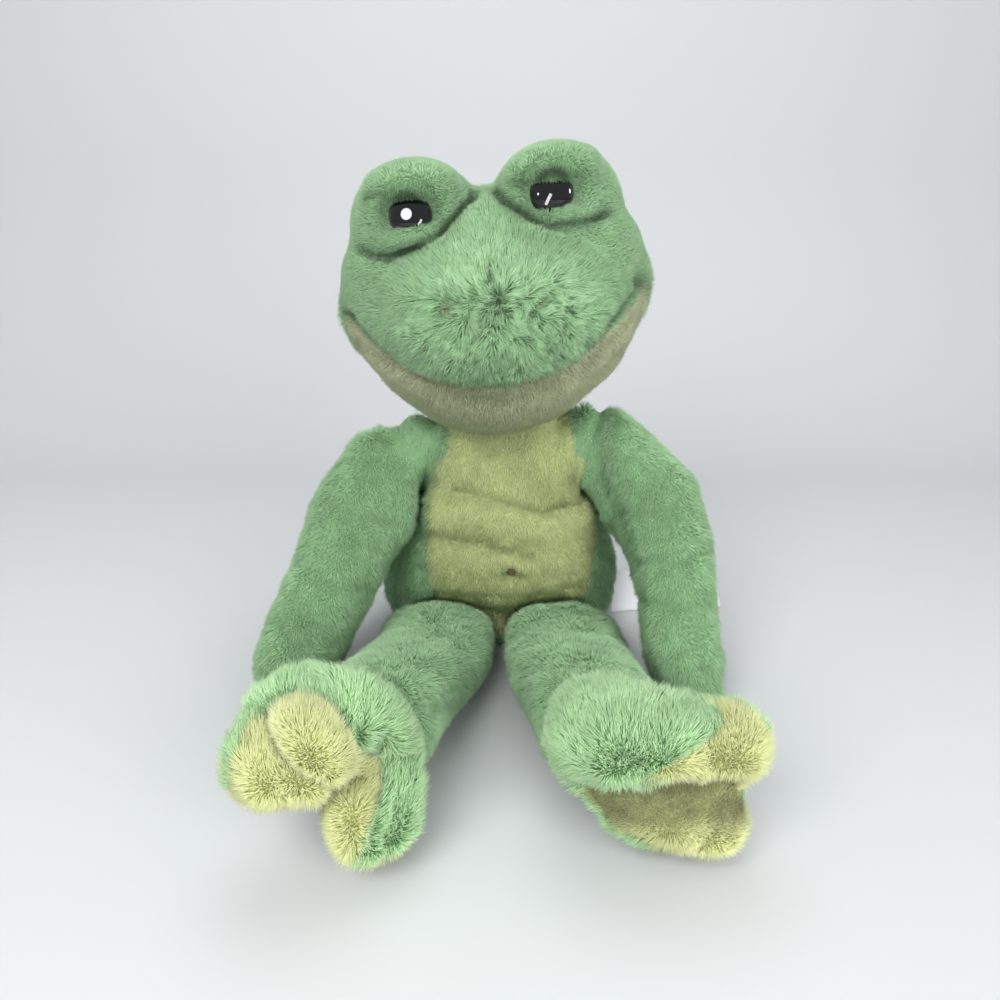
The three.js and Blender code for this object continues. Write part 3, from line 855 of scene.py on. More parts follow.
@dataclass
class Pile:
    """A coat of strands on part of a form.

    Its density is in strands to the square millimetre, stray is how much each strand's way
    differs from its neighbours', and clump and wave are how much the strands part into tufts
    and how wide these are.
    """

    name: str
    body: str
    slot: str
    finish: Material
    density: float = 2.2
    width: float = 0.36 * MM
    bent: bool = False
    seed: int = 1
    stray: float = 0.13
    clump: float = 0.34
    wave: float = 5.0 * MM
    replaced: tuple[str, ...] = ()

    LIMIT = 196000
    QUICK = 0.25
    # The ranges of the strands' lengths and widths, and how much their tones differ.
    LENGTHS = (0.74, 1.12)
    WIDTHS = (0.75, 1.25)
    TONES = 0.07
    # The least rise of a strand's way, and how deep its root is sunk.
    RISE = 0.2
    SUNK = 0.5 * MM
    # What a strand that is pressed by a neighbour keeps of its length, how far it may reach
    # into it, and how deep inside a neighbour a root is left out.
    PRESSED = 0.5
    REACH = 1.1
    BURIED = -2.2 * MM
    # A spoke of an even triangle by its side, and a bent strand's knee by its length.
    SPOKE = 0.577
    KNEE = 0.5

    def rooted(self, form: Form, share: Array) -> dict[str, Array]:
        """Sets out the strands.

        Args:
            form: The form with its coat.
            share: How much of the full density each point has, from 0 to 1.

        Returns:
            Each strand's root, way, normal, length, tone, width and turn about itself.
        """
        rng = np.random.default_rng(self.seed)
        corners = form.points[form.faces]
        sides = corners[:, 1:] - corners[:, :1]
        area = np.linalg.norm(np.cross(sides[:, 0], sides[:, 1]), axis=1) / 2
        weight = area * share[form.faces].mean(axis=1)
        density = self.density * 1.0
        count = int(weight.sum() / (MM * MM) * density)
        pick = rng.choice(len(area), count, p=weight / weight.sum())
        u, v = rng.random(count), rng.random(count)
        flip = u + v > 1
        u[flip], v[flip] = 1 - u[flip], 1 - v[flip]
        blend = np.stack([1 - u - v, u, v], axis=1)
        on = form.faces[pick]

        def read(values: Array) -> Array:
            """Values at the roots."""
            return np.einsum("nk,nk...->n...", blend, values[on])

        root = read(form.points)
        normal = unit(read(form.normals()))
        comb = read(form.coat["comb"])
        comb -= normal * (comb * normal).sum(axis=1)[:, None]
        flat = np.linalg.norm(comb, axis=1)
        comb = unit(comb)
        lean = (read(form.coat["lean"]) * fade(flat, -0.15, 0.75))[:, None]
        room, stir = read(form.coat["room"]), read(form.coat["stir"])
        # What is added to a root reads the noise at another place, so that no two uses agree.
        part = (self.clump * stir)[:, None]
        stray = rng.normal(0, 1, (count, 3))
        push = part * GRAIN.slope(root, self.wave) + self.stray * stray
        push += 0.6 * part * GRAIN.slope(root + 0.37, 3.2 * self.wave)
        way = np.cos(lean) * normal + np.sin(lean) * comb + push
        out = (way * normal).sum(axis=1)
        way = unit(way + normal * np.maximum(self.RISE - out, 0)[:, None])
        length = read(form.coat["length"]) * rng.uniform(*self.LENGTHS, count)
        length *= 1 + 0.6 * part[:, 0] * GRAIN.at(root + 0.51, 1.3 * self.wave)
        length = np.minimum(length, np.maximum(room * self.REACH, self.PRESSED * length))
        tone = read(form.coat["tone"]) + rng.normal(0, self.TONES, count)
        uneven = 0.4 + 0.6 * stir
        tone += uneven * 0.2 * GRAIN.at(root + 0.11, self.wave * 0.8)
        tone += uneven * 0.12 * GRAIN.at(root + 0.23, 5 * self.wave)
        found = {
            "root": root - normal * self.SUNK,
            "way": way,
            "normal": normal,
            "length": length,
            "tone": tone,
            "wide": self.width * rng.uniform(*self.WIDTHS, count),
            "turn": rng.uniform(0, 2 * math.pi, count),
        }
        keep = room > self.BURIED
        return {key: values[keep] for key, values in found.items()}

    def spikes(self, name: str, at: dict[str, Array]) -> Mesh:
        """Makes strands as slim closed spikes.

        Args:
            name: The mesh's name.
            at: The strands that rooted() set out, or some of them.

        Returns:
            The mesh with its map.
        """
        root, way, normal, length = at["root"], at["way"], at["normal"], at["length"][:, None]
        across = unit(np.cross(way, normal + 0.01))
        up = np.cross(way, across)
        ring = []
        for k in range(3):
            angle = (at["turn"] + 2 * math.pi * k / 3)[:, None]
            spoke = np.cos(angle) * across + np.sin(angle) * up
            ring.append(spoke * (self.SPOKE * at["wide"])[:, None])
        places = [root + spoke for spoke in ring]
        faces, heights = [(0, 2, 1)], [0.0] * 3
        if self.bent:
            middle = root + unit(0.6 * normal + way) * (self.KNEE * length)
            places += [middle + 0.8 * spoke for spoke in ring]
            heights += [self.KNEE] * 3
            for k in range(3):
                n = (k + 1) % 3
                faces += [(k, n, 3 + n), (k, 3 + n, 3 + k), (3 + k, 3 + n, 6)]
        else:
            faces += [(k, (k + 1) % 3, 3) for k in range(3)]
        places.append(root + way * length)
        heights.append(1.0)
        size = len(places)
        points = np.stack(places, axis=1).reshape(-1, 3)
        points[:, 2] = np.maximum(points[:, 2], 0.1 * MM)
        starts = size * np.arange(len(root))[:, None, None]
        mesh = Form(points, (np.array(faces)[None] + starts).reshape(-1, 3)).mesh(name)
        map_tones(mesh, np.repeat(at["tone"], size), np.tile(np.array(heights), len(root)))
        return mesh

    def grow(self, form: Form, share: Array) -> None:
        """Grows the strands and puts them in the scene, in as many pieces as they need.

        Args:
            form: The form with its coat.
            share: How much of the full density each point has, from 0 to 1.
        """
        at = self.rooted(form, share)
        most = self.LIMIT // (10 if self.bent else 4)
        order = np.argsort(at["root"][:, 0], kind="stable")
        parts = np.array_split(order, max(1, math.ceil(len(order) / most)))
        for number, part in enumerate(parts, 1):
            name = self.name if len(parts) == 1 else f"{self.name}_{number}"
            mesh = self.spikes(name, {key: values[part] for key, values in at.items()})
            made = add_piece(name, mesh, self.body, self.slot, self.finish)
            if self.replaced and number == 1:
                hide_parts(*self.replaced)


def add_backing(
    name: str,
    form: Form,
    body: str,
    slot: str,
    finish: Material,
    *replaced: str,
    panel: Optional[tuple[Material, Array]] = None,
    tone: float = 0.6,
    fill: float = 0.7,
) -> Object:
    """Puts a form's backing cloth in the scene as a piece that stands for its solids.

    Args:
        name: The piece's name.
        form: Its form.
        body: The body that it moves with.
        slot: Not used.
        finish: Its finish.
        replaced: The CAD nodes that it stands for.
        panel: The finish of a panel let into it, and how much of each point is on that panel.
        tone: How light its cloth is, from 0 to 1.
        fill: Not used.

    Returns:
        The piece.
    """
    mesh = form.mesh(name, smooth=True)
    shadow = form.coat.get("shadow", np.zeros(len(form.points)))
    # Painted shade: the cloth is darker where the strokes paint their shadow.
    tones = tone * (1 - BACKING_SHADOW * shadow)
    map_tones(mesh, tones, np.full(len(form.points), BACKING_HEIGHT))
    if panel is None:
        made = add_piece(name, mesh, body, slot, finish)
    else:
        made = add_piece(name, mesh, body, slot, finish, panel[0])
        on = panel[1][form.faces].mean(axis=1) > 0.5
        mesh.polygons.foreach_set("material_index", on.astype(np.int32))
    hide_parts(*replaced)
    return made


# Where on the pile's colours the backing's cloth stands, and how much a shadow darkens it.
BACKING_HEIGHT = 0.12
BACKING_SHADOW = 0.85
# How far the dimples reach that the small stitches leave in the pile, and how dark the shade
# painted into them is.
DIMPLES = {"nostril_left": 6.5 * MM, "nostril_right": 6.5 * MM, "navel_stitch": 5.0 * MM}
DIMPLE_SHADE = 0.8
# The shade painted into the pile's tone where a crease is 1 mm deep, and what that crease
# takes from its length, the deepest crease that counts, in millimetres, and what a full shadow
# takes from the length.
CREASE_SHADE = 0.26
CREASE_LENGTH = 0.25
CREASE_MOST = 1.2
SHADOW_LENGTH = 0.8
# How much the comb sways, and the size of its sways.
SWAY = 0.35
SWAY_WAVE = 22 * MM


def lay(
    form: Form,
    length: Array | float,
    lean: Array | float,
    comb: Array,
    tone: Array | float = 0.86,
    stir: Array | float = 1.0,
) -> Form:
    """Lays down what the pile needs at each point of a form that is already drawn in.

    Args:
        form: The form.
        length: The strands' length in metres.
        lean: How far they lean from upright, in degrees.
        comb: The way that they lean, a vector for each point.
        tone: How light they are, from 0 to 1.
        stir: How much they part into tufts, 1 being plain.

    Returns:
        The same form.
    """
    count = len(form.points)
    deep = np.clip(form.evened(form.hollows(8), 3) / MM, 0, CREASE_MOST)
    shadow, shade = (form.coat.get(key, np.zeros(count)) for key in ("shadow", "shade"))
    # Painted shade in the dimples round the nostrils and the navel.
    for node, reach in DIMPLES.items():
        low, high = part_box(node)
        gap = np.linalg.norm(form.points - np.array((low + high) / 2), axis=1)
        shadow = np.maximum(shadow, DIMPLE_SHADE * np.exp(-((gap / reach) ** 4)))
    # Painted shade: the pile's tone is darker in creases, and darker still under the painted
    # shadow of strokes, dimples and brows.
    dark = CREASE_SHADE * deep
    pressed = (1 - CREASE_LENGTH * np.clip(deep, 0, 1)) * (1 - SHADOW_LENGTH * shadow)
    form.coat.update(
        length=length * pressed,
        lean=np.radians(np.broadcast_to(lean, count)),
        comb=comb + SWAY * GRAIN.slope(form.points + 0.7, SWAY_WAVE),
        tone=np.clip(np.broadcast_to(tone, count) - dark - np.maximum(shadow, shade), 0, 1),
        stir=np.broadcast_to(stir, count).astype(float),
        room=np.full(count, FREE),
    )
    return form


def pile_height(length: Array | float, lean: Array | float, share: float = 0.7) -> Array | float:
    """How high a share of a pile stands, by its length in metres and lean in degrees."""
    return share * length * np.cos(np.radians(lean))


def drawn_in(
    form: Form, length: Array | float, lean: Array | float, strokes: Sequence[Stroke]
) -> Form:
    """Draws a form in by its pile's height and presses its strokes.

    Args:
        form: The form.
        length: The pile's length in metres.
        lean: The pile's lean in degrees.
        strokes: The strokes.

    Returns:
        The same form.
    """
    form.inset(pile_height(length, lean)).smoothed(3)
    return press(form, strokes).smoothed(1).above_seat()


def reach_out(form: Form, nodes: Sequence[str]) -> Array:
    """Finds how far the upper part of a form swells towards its neighbours.

    Args:
        form: The form.
        nodes: The neighbours' CAD nodes.

    Returns:
        The swelling at each point, in metres, which meets a neighbour halfway.
    """
    room = form.room([Form.of_nodes(node).tree() for node in nodes])
    half = np.clip(0.5 * room - 0.8 * MM, 0, None)
    near = 1 - fade(room, 12 * MM, 28 * MM)
    return half * near * fade(form.points[:, 2], 60 * MM, 80 * MM)


def tube_faces(rings: int, around: int) -> Array:
    """Joins rings of points to a closed tube, with a point of its own at each end.

    Args:
        rings: How many rings there are.
        around: How many points each has.

    Returns:
        The faces, three point numbers a row.
    """
    last = rings * around + 1
    faces = []
    for j in range(around):
        k = (j + 1) % around
        faces.append((0, 1 + k, 1 + j))
        for i in range(rings - 1):
            a, b = 1 + i * around, 1 + (i + 1) * around
            faces += [(a + j, a + k, b + k), (a + j, b + k, b + j)]
        faces.append((last - around + j, last - around + k, last))
    return np.array(faces, np.int64)


@dataclass
class Head:
    """The head: muzzle, crown and cheeks in green, a sage chin, and two mounds for the eyes.

    The crown's pile has a length in millimetres, a lean in degrees and a tone from 0 to 1, and
    the muzzle's, the mounds' and the chin's numbers of the same words are what they add to it.
    The mounds' lobes are given by their middles and half sizes, in millimetres about the head's
    own middle.
    """

    place: Triple = (-2 * MM, -14 * MM, 208 * MM)
    pitch: float = -10.0
    roll: float = -6.5
    lip_drop: float = 48 * MM
    lip_corner: float = 8 * MM
    lip_half: float = 94 * MM
    chin_back: float = 9 * MM
    muzzle: Triple = (-4 * MM, -98 * MM, 219 * MM)
    eye_apart: float = 39 * MM
    eye_front: float = 56 * MM
    eye_rise: float = 45 * MM
    left_sewn: Triple = (-3.5 * MM, 0.0, 3 * MM)
    voxel: float = 2.1 * MM
    mound_voxel: float = 1.9 * MM
    mound_depth: float = 22 * MM
    fluff_at: Pair = (500, 322)
    fluff_half: Pair = (122, 72)
    crown_pile: float = 5.8
    muzzle_pile: float = 3.6
    mound_pile: float = -2.4
    chin_pile: float = -0.8
    crown_lean: float = 54.0
    muzzle_lean: float = -16.0
    mound_lean: float = -8.0
    crown_tone: float = 0.86
    muzzle_tone: float = 0.04
    mound_tone: float = -0.03
    chin_tone: float = 0.06
    hollow_at: float = 14 * MM
    hollow_wide: float = 4 * MM
    hollow_deep: float = 2.4 * MM
    # Where the shade painted under each brow lies round the eye, and how wide it is.
    shade_at: float = 9.2 * MM
    shade_wide: float = 2.6 * MM
    mound_lobes: tuple[tuple[Triple, Triple], ...] = (
        ((39, -26, 45), (37.5, 32, 37)),
        ((17, -28, 48), (17, 22, 19)),
        ((54, -15, 17), (33, 42, 36)),
        ((38, -50, 61.5), (27, 21.5, 13)),
        ((39, -50.5, 32.5), (20, 16, 8.5)),
    )
    # Creases pressed into the head with painted shade along them, bulges with none, and one line
    # that only paints shade.
    strokes: tuple[Stroke, ...] = (
        Stroke(((350, 317), (372, 340), (398, 364), (425, 380), (480, 387), (530, 381),
                (563, 369), (590, 345), (615, 314), (641, 284)), -3.2, 5, 0.45),
        Stroke(((347, 314), (354, 325)), -3.5, 7, 0.45),
        Stroke(((637, 279), (644, 290)), -3.5, 7, 0.45),
        Stroke(
            ((362, 250), (376, 256), (391, 258), (417, 249), (441, 233), (457, 215), (473, 198)),
            -4.0, 5, 0.8,
        ),
        Stroke(((473, 193), (477, 196)), -3.0, 5, 0.5),
        Stroke(((365, 200), (380, 195)), -1.8, 5, 0.2),
        Stroke(
            ((488, 184), (504, 203), (528, 218), (550, 227), (580, 223), (606, 214)), -4.0, 5, 0.8
        ),
        Stroke(((386, 200), (408, 196), (430, 199)), -0.4, 5, 0.2),
        Stroke(((524, 182), (548, 174), (583, 173)), -0.4, 5, 0.2),
        # Painted shade under the muzzle's lower edge, pressed no deeper.
        Stroke(((400, 352), (440, 369), (495, 375), (550, 367), (590, 346)), 0.0, 24, 0.16),
        Stroke(((388, 236), (415, 238), (436, 226)), 1.4, 9),
        Stroke(((520, 200), (545, 218), (580, 214)), 1.0, 9),
        Stroke(((491, 273), (492, 286)), -2.2, 4.5, 0.6),
        Stroke(((497, 300), (499, 304)), -1.5, 4.0, 0.4),
        Stroke(((451, 296), (453, 312)), -2.2, 4.5, 0.4),
        Stroke(((548, 297), (548, 305)), -2.2, 4.5, 0.4),
    )

    def matrix(self) -> Array:
        """The head's turn, as a matrix of rows."""
        roll = Matrix.Rotation(math.radians(self.roll), 3, "Y")
        return np.array(roll @ Matrix.Rotation(math.radians(self.pitch), 3, "X"))

    def turned(self, points: Array) -> Array:
        """Points about the head's own middle and upright."""
        return (points - np.array(self.place)) @ self.matrix()

    def world(self, points: Array) -> Array:
        """Points about the head's own middle as places in the frame."""
        return np.asarray(points) @ self.matrix().T + np.array(self.place)

    def eye(self, side: Side) -> Array:
        """Finds an eye.

        Args:
            side: The eye's side.

        Returns:
            The middle of its dome, at the dome's base.
        """
        own = np.array([side.value * self.eye_apart, -self.eye_front, self.eye_rise])
        if side is Side.LEFT:
            own += np.array(self.left_sewn)
        return self.world(own)

    def below_lip(self, own: Array) -> Array:
        """Measures how far points are inside the chin's panel.

        Args:
            own: The points about the head's own middle.

        Returns:
            How far each is below the lip's seam and in front of the chin's seam, in metres.
        """
        share = own[:, 0] / self.lip_half
        lip = -self.lip_drop + (self.lip_drop + self.lip_corner) * share**2
        back = self.chin_back - 34 * MM * fade(own[:, 2], -38 * MM, -8 * MM)
        return np.minimum(lip - own[:, 2], back - own[:, 1])

    def mound(self, side: Side) -> Form:
        """Makes an eye's mound, with its brow, its lower lid and its run into the cheek.

        Args:
            side: The eye's side.

        Returns:
            The form.
        """
        lobes = []
        for (x, y, z), half in self.mound_lobes:
            ball = Form.ball((side.value * x * MM, y * MM, z * MM), np.array(half) * MM)
            ball.points = self.world(ball.points)
            lobes.append(ball)
        return Form.joined(lobes).remeshed(self.mound_voxel).smoothed(4)

    def from_eye(self, points: Array, side: Side) -> Array:
        """How far points are from the middle of an eye's dome, by the head's own axes."""
        return self.turned(points) - self.turned(self.eye(side)[None])

    def round_eye(self, points: Array, side: Side) -> tuple[Array, Array]:
        """Measures points about an eye's axis.

        Args:
            points: The points.
            side: The eye's side.

        Returns:
            How far they are from the axis, in metres, and how far up round it, from -1 to 1.
        """
        away = self.from_eye(points, side)
        gap = np.hypot(away[:, 0], away[:, 2])
        gap = np.where(away[:, 1] < self.mound_depth, gap, FREE)
        return gap, away[:, 2] / np.maximum(gap, 1e-6)

    def build(self, looks: Finishes) -> Form:
        """Builds the head's form, its backings and what its pile needs.

        Args:
            looks: The frog's finishes.

        Returns:
            The form of the whole head.
        """
        base = Form.of_nodes("head_skin", "chin_panel", "head_filling")
        base = base.remeshed(VOXEL).smoothed(14)
        mounds = {side: self.mound(side) for side in Side}
        form = Form.joined([base, *mounds.values()]).remeshed(self.voxel).smoothed(3)
        own = self.turned(form.points)
        seen = VIEW.seen(form.points)
        to_base = form.distances(base.tree())
        to_mound = np.minimum(*(form.distances(mound.tree()) for mound in mounds.values()))
        mound = (to_mound < to_base).astype(float)
        chin = (self.below_lip(own) > 0).astype(float) * (1 - mound)
        front = fade(-own[:, 1], 10 * MM, 45 * MM)
        oval = np.hypot(*((seen - self.fluff_at) / self.fluff_half).T)
        fluff = front * (1 - chin) * (1 - mound) * (1 - fade(oval, 0.5, 1.2))
        soft = form.evened(np.stack([mound, chin], axis=1), 3)
        on_mound, on_chin = soft.T
        length = self.crown_pile + self.muzzle_pile * fluff
        length = (length + self.mound_pile * on_mound + self.chin_pile * on_chin) * MM
        lean = self.crown_lean + self.muzzle_lean * fluff + self.mound_lean * on_mound
        before = form.points.copy()
        form.inset(pile_height(length, lean, 0.5)).smoothed(3)
        press(form, self.strokes)
        self.set_eyes(form)
        self.tuck_chin(form)
        form.smoothed(1)
        form.coat.update(mound=mound, chin=chin, fluff=form.evened(fluff, 2))
        comb = self.combed(form, on_mound)
        tone = self.crown_tone + self.muzzle_tone * fluff
        tone = tone + self.mound_tone * on_mound + self.chin_tone * on_chin
        lay(form, length, lean, comb, tone, 0.4 + 1.5 * fluff - 0.1 * on_mound)
        skin = base.following(before, form, 12 * MM, 1.0 * MM)
        below = (self.below_lip(self.turned(skin.points)) > 0).astype(float)
        add_backing(
            "head_backing", skin, "head", "pile_green", looks.green, "head_skin", "head_filling",
            panel=(looks.sage, below),
        )
        for side, cover in mounds.items():
            parts = ("eye_mound", "mound_filling", "eyelid")
            nodes = [f"{part}_{side.word}" for part in parts]
            name = f"mound_{side.word}_backing"
            cover.following(before, form, 9 * MM, 0.8 * MM)
            add_backing(name, cover, "head", "pile_green", looks.green, *nodes)
        return form

    def set_eyes(self, form: Form) -> None:
        """Presses a hollow round each eye and paints shade into the pile under its brow.

        Args:
            form: The head's form, which gets the shade and what lies under each dome.
        """
        shadow = form.coat["shadow"]
        shade = np.zeros(len(form.points))
        for side in Side:
            gap, up = self.round_eye(form.points, side)
            brow, low = fade(up, 0.05, 0.7), fade(-up, 0.1, 0.8)
            ring = bell(gap, self.hollow_at, self.hollow_wide)
            form.pushed(-self.hollow_deep * ring * (1 - 0.95 * brow) * (1 - 0.8 * low))
            # Painted shade under the brow, and a little in the hollow round the eye.
            dark = bell(gap, self.shade_at, self.shade_wide)
            shadow = np.maximum(shadow, 0.1 * ring)
            shade = np.maximum(shade, dark * (0.25 + 0.55 * brow))
            edge = 10.4 - 2.2 * brow - 2.6 * fade(-up, 0, 0.5) + 1.2 * fade(-up, 0.6, 1)
            ahead = -self.from_eye(form.points, side)[:, 1]
            ahead -= Eye.dome * np.sqrt(np.clip(1 - (gap / Eye.radius) ** 2, 0, 1))
            behind = 1 - fade(ahead, -0.5 * MM, 1 * MM)
            inside = 1 - fade(gap - edge * MM, -0.8 * MM, 0.8 * MM)
            form.coat[f"under_{side.word}"] = behind * inside
        form.coat.update(shadow=shadow, shade=shade)

    def tuck_chin(self, form: Form) -> None:
        """Tucks the chin in below the lip's seam, and fills it out under its middle.

        Args:
            form: The head's form.
        """
        below = self.below_lip(self.turned(form.points))
        lip = fade(below, -1 * MM, 4 * MM) * (1 - fade(below, 6 * MM, 14 * MM))
        form.pushed(-2.4 * MM * lip)
        under = fade(-form.normals()[:, 2], 0.0, 0.6) * fade(below, 8 * MM, 20 * MM)
        middle = bell(form.points[:, 0], 0, 34 * MM)
        form.pushed(4.5 * MM * under * middle * fade(-form.points[:, 1], 20 * MM, 45 * MM))
        aside = fade(np.abs(form.points[:, 0]), 30 * MM, 55 * MM)
        form.pushed(-4.0 * MM * aside * fade(below, 6 * MM, 22 * MM))

    def combed(self, form: Form, mound: Array) -> Array:
        """Finds the way that the head's pile lies.

        Args:
            form: The head's form.
            mound: How much of each point is on a mound, from 0 to 1.

        Returns:
            A vector for each point.
        """
        radial = unit(form.points - np.array(self.muzzle))
        own = self.turned(form.points)
        comb = radial + np.where(own[:, 2:] < 0, (0, 0, -0.2), (0, 0.25, 0.15))
        back = fade(own[:, 1], -15 * MM, 30 * MM)[:, None]
        comb = comb * (1 - back) + np.array([0, 0, -1.0]) * back
        comb += 1.1 * form.coat["fluff"][:, None] * GRAIN.slope(form.points + 0.9, 9 * MM)
        for side in Side:
            away = unit(form.points - self.eye(side))
            gap, up = self.round_eye(form.points, side)
            lid = fade(up, 0.0, 0.7) * (1 - fade(gap, 14 * MM, 19 * MM))
            near = mound * (1 - fade(gap, 30 * MM, 50 * MM))
            comb += near[:, None] * (1 - 2.2 * lid)[:, None] * 1.5 * away
        return comb

    def dress(self, form: Form, looks: Finishes) -> None:
        """Grows the head's pile.

        Args:
            form: The head's form with its coat.
            looks: The frog's finishes.
        """
        chin, mound, fluff = (form.coat[key] for key in ("chin", "mound", "fluff"))
        bare = np.maximum(form.coat["under_left"], form.coat["under_right"])
        plain = (1 - chin) * (1 - mound) * (1 - bare)
        green = ("head", "pile_green", looks.green)
        muzzle = Pile("muzzle_fur", *green, 4.7, 0.25 * MM, True, seed=3, wave=3.4 * MM)
        muzzle.grow(form, plain * fluff)
        Pile("crown_fur", *green, 3.6, 0.3 * MM, seed=4).grow(form, plain * (1 - fluff))
        sage = ("head", "pile_sage", looks.sage)
        Pile("chin_fur", *sage, 3.0, seed=5, replaced=("chin_panel",)).grow(form, chin)
        for side in Side:
            own = (side.value * (form.points[:, 0] + 2 * MM) > 0).astype(float)
            pile = Pile(f"mound_fur_{side.word}", *green, 4.6, 0.28 * MM, seed=13)
            pile.grow(form, mound * own * (1 - bare))


@dataclass
class Torso:
    """The body: green back and sides, and a lime panel over the belly.

    The pile has a length in millimetres, a lean in degrees and a tone from 0 to 1, to which the
    belly's numbers add. The panel is given by its half widths at heights above the seat, and
    the shoulders are lobes by their middles and half sizes, all in millimetres.
    """

    pile: float = 6.4
    belly_pile: float = -1.4
    lean: float = 54.0
    belly_lean: float = 4.0
    tone: float = 0.74
    belly_tone: float = 0.16
    panel_aside: float = 7 * MM
    panel: tuple[Pair, ...] = (
        (9, 5), (15.6, 28), (35.4, 46), (59, 51), (81.6, 50),
        (101.4, 48), (114.6, 45), (122.5, 37.7), (141, 36.7),
    )
    shoulders: tuple[tuple[Triple, Triple], ...] = (
        ((34, -4, 112), (30, 27, 25)),
        ((53, -3, 119.5), (23, 23, 25.5)),
        ((-31, -3, 112), (26, 27, 25)),
        ((-52, -3, 118), (19, 22, 24)),
    )
    # Creases across the belly with painted shade along them, two bulges, and the navel's dimple
    # with painted shade.
    strokes: tuple[Stroke, ...] = (
        Stroke(((455, 489), (500, 500), (546, 513), (579, 503)), -2.4, 6, 0.22),
        Stroke(((426, 534), (480, 544), (529, 557)), -2.2, 6, 0.2),
        Stroke(((435, 592), (475, 596), (520, 596), (579, 586)), -1.6, 6, 0.12),
        Stroke(((455, 515), (500, 527), (560, 535)), 1.8, 12),
        Stroke(((440, 560), (500, 570), (560, 560)), 1.4, 12),
        Stroke(((506, 574), (518, 576)), -2.5, 6, 0.35),
    )

    def on_panel(self, points: Array) -> Array:
        """Finds the points on the belly panel.

        Args:
            points: The points.

        Returns:
            1 for each point on it, and 0 for each other.
        """
        heights, halves = (np.array(column) * MM for column in zip(*self.panel))
        half = np.interp(points[:, 2], heights, halves)
        ahead = (points[:, 1] < 0) & (points[:, 2] > heights[0])
        return ((np.abs(points[:, 0] - self.panel_aside) < half) & ahead).astype(float)

    def build(self, looks: Finishes) -> Form:
        """Builds the body's form, its backing and what its pile needs.

        Args:
            looks: The frog's finishes.

        Returns:
            The form.
        """
        nodes = ("body_skin", "body_filling", "pellet_pouch")
        lobes = [Form.ball(np.array(at) * MM, np.array(half) * MM) for at, half in self.shoulders]
        form = Form.joined([Form.of_nodes(*nodes, "belly_panel"), *lobes]).remeshed(VOXEL)
        form.smoothed(14)
        form.pushed(reach_out(form, [f"arm_skin_{side.word}" for side in Side]))
        panel = form.evened(self.on_panel(form.points), 3)
        length = (self.pile + self.belly_pile * panel) * MM
        lean = self.lean + self.belly_lean * panel
        drawn_in(form, length, lean, self.strokes)
        comb = form.along((0, 0, -1.0))
        comb[:, 0] += 2.0 * form.points[:, 0]
        lay(form, length, lean, comb, self.tone + self.belly_tone * panel, 1 - 0.35 * panel)
        form.coat["panel"] = self.on_panel(form.points)
        cloth = (looks.belly, form.coat["panel"])
        add_backing("body_backing", form, "torso", "pile_green", looks.green, *nodes, panel=cloth)
        return form

    def dress(self, form: Form, looks: Finishes) -> None:
        """Grows the body's pile.

        Args:
            form: The body's form with its coat.
            looks: The frog's finishes.
        """
        panel = form.coat["panel"]
        lime = ("torso", "pile_lime", looks.belly)
        Pile("belly_fur", *lime, 3.0, seed=6, replaced=("belly_panel",)).grow(form, panel)
        Pile("body_fur", "torso", "pile_green", looks.green, 2.0, seed=7).grow(form, 1 - panel)


@dataclass
class Neck:
    """The neck: a short stuffed piece that shows behind, between the head and the body."""

    pile: float = 4.5 * MM
    lean: float = 50.0
    tone: float = 0.7
    density: float = 3.0

    def build(self, looks: Finishes) -> Form:
        """Builds the neck's form, its backing and what its pile needs.

        Args:
            looks: The frog's finishes.

        Returns:
            The form.
        """
        form = Form.of_nodes("neck_filling").remeshed(FINE_VOXEL).smoothed(3)
        form.inset(0.0)
        lay(form, self.pile, self.lean, form.along((0, 0, -1.0)), self.tone)
        nodes = ("neck_filling",)
        add_backing("neck_backing", form, "neck", "pile_green", looks.green, *nodes, tone=0.4)
        return form

    def dress(self, form: Form, looks: Finishes) -> None:
        """Grows the neck's pile."""
        pile = Pile("neck_fur", "neck", "pile_green", looks.green, self.density, seed=8)
        pile.grow(form, np.ones(len(form.points)))


@dataclass
class Limb:
    """An arm or a leg: one stuffed tube."""

    part: str
    side: Side
    strokes: tuple[Stroke, ...] = ()
    pile: float = 6.0 * MM
    way: Triple = (0.0, -0.3, -1.0)
    tone: float = 0.84
    lean: float = 52.0
    shoulder_rise: float = 10 * MM
    shoulder_at: float = 71 * MM
    shoulder_wide: float = 13 * MM

    @property
    def body(self) -> str:
        """The body that it rides on."""
        return f"{self.part}_{self.side.word}"

    def build(self, looks: Finishes) -> Form:
        """Builds the limb's form, its backing and what its pile needs.

        Args:
            looks: The frog's finishes.

        Returns:
            The form.
        """
        nodes = [f"{self.part}_{layer}_{self.side.word}" for layer in ("skin", "filling")]
        form = Form.of_nodes(*nodes).remeshed(VOXEL).smoothed(12)
        if self.part == "arm":
            inner = fade(-self.side.value * form.normals()[:, 0], 0.1, 0.5)
            form.pushed(reach_out(form, ("body_skin",)) * inner)
        if self.body == "arm_left":
            high = fade(form.normals()[:, 2], 0.1, 0.8)
            top = bell(form.points[:, 0], self.shoulder_at, self.shoulder_wide)
            form.pushed(self.shoulder_rise * high * top)
        drawn_in(form, self.pile, self.lean, self.strokes)
        lay(form, self.pile, self.lean, form.along(self.way), self.tone, 0.7)
        name = f"{self.body}_backing"
        add_backing(name, form, self.body, "pile_green", looks.green, *nodes)
        return form

    def dress(self, form: Form, looks: Finishes) -> None:
        """Grows the limb's pile.

        Args:
            form: The limb's form with its coat.
            looks: The frog's finishes.
        """
        green = (self.body, "pile_green", looks.green)
        pile = Pile(f"{self.part}_fur_{self.side.word}", *green, 2.5, 0.33 * MM, seed=9)
        pile.grow(form, np.ones(len(form.points)))
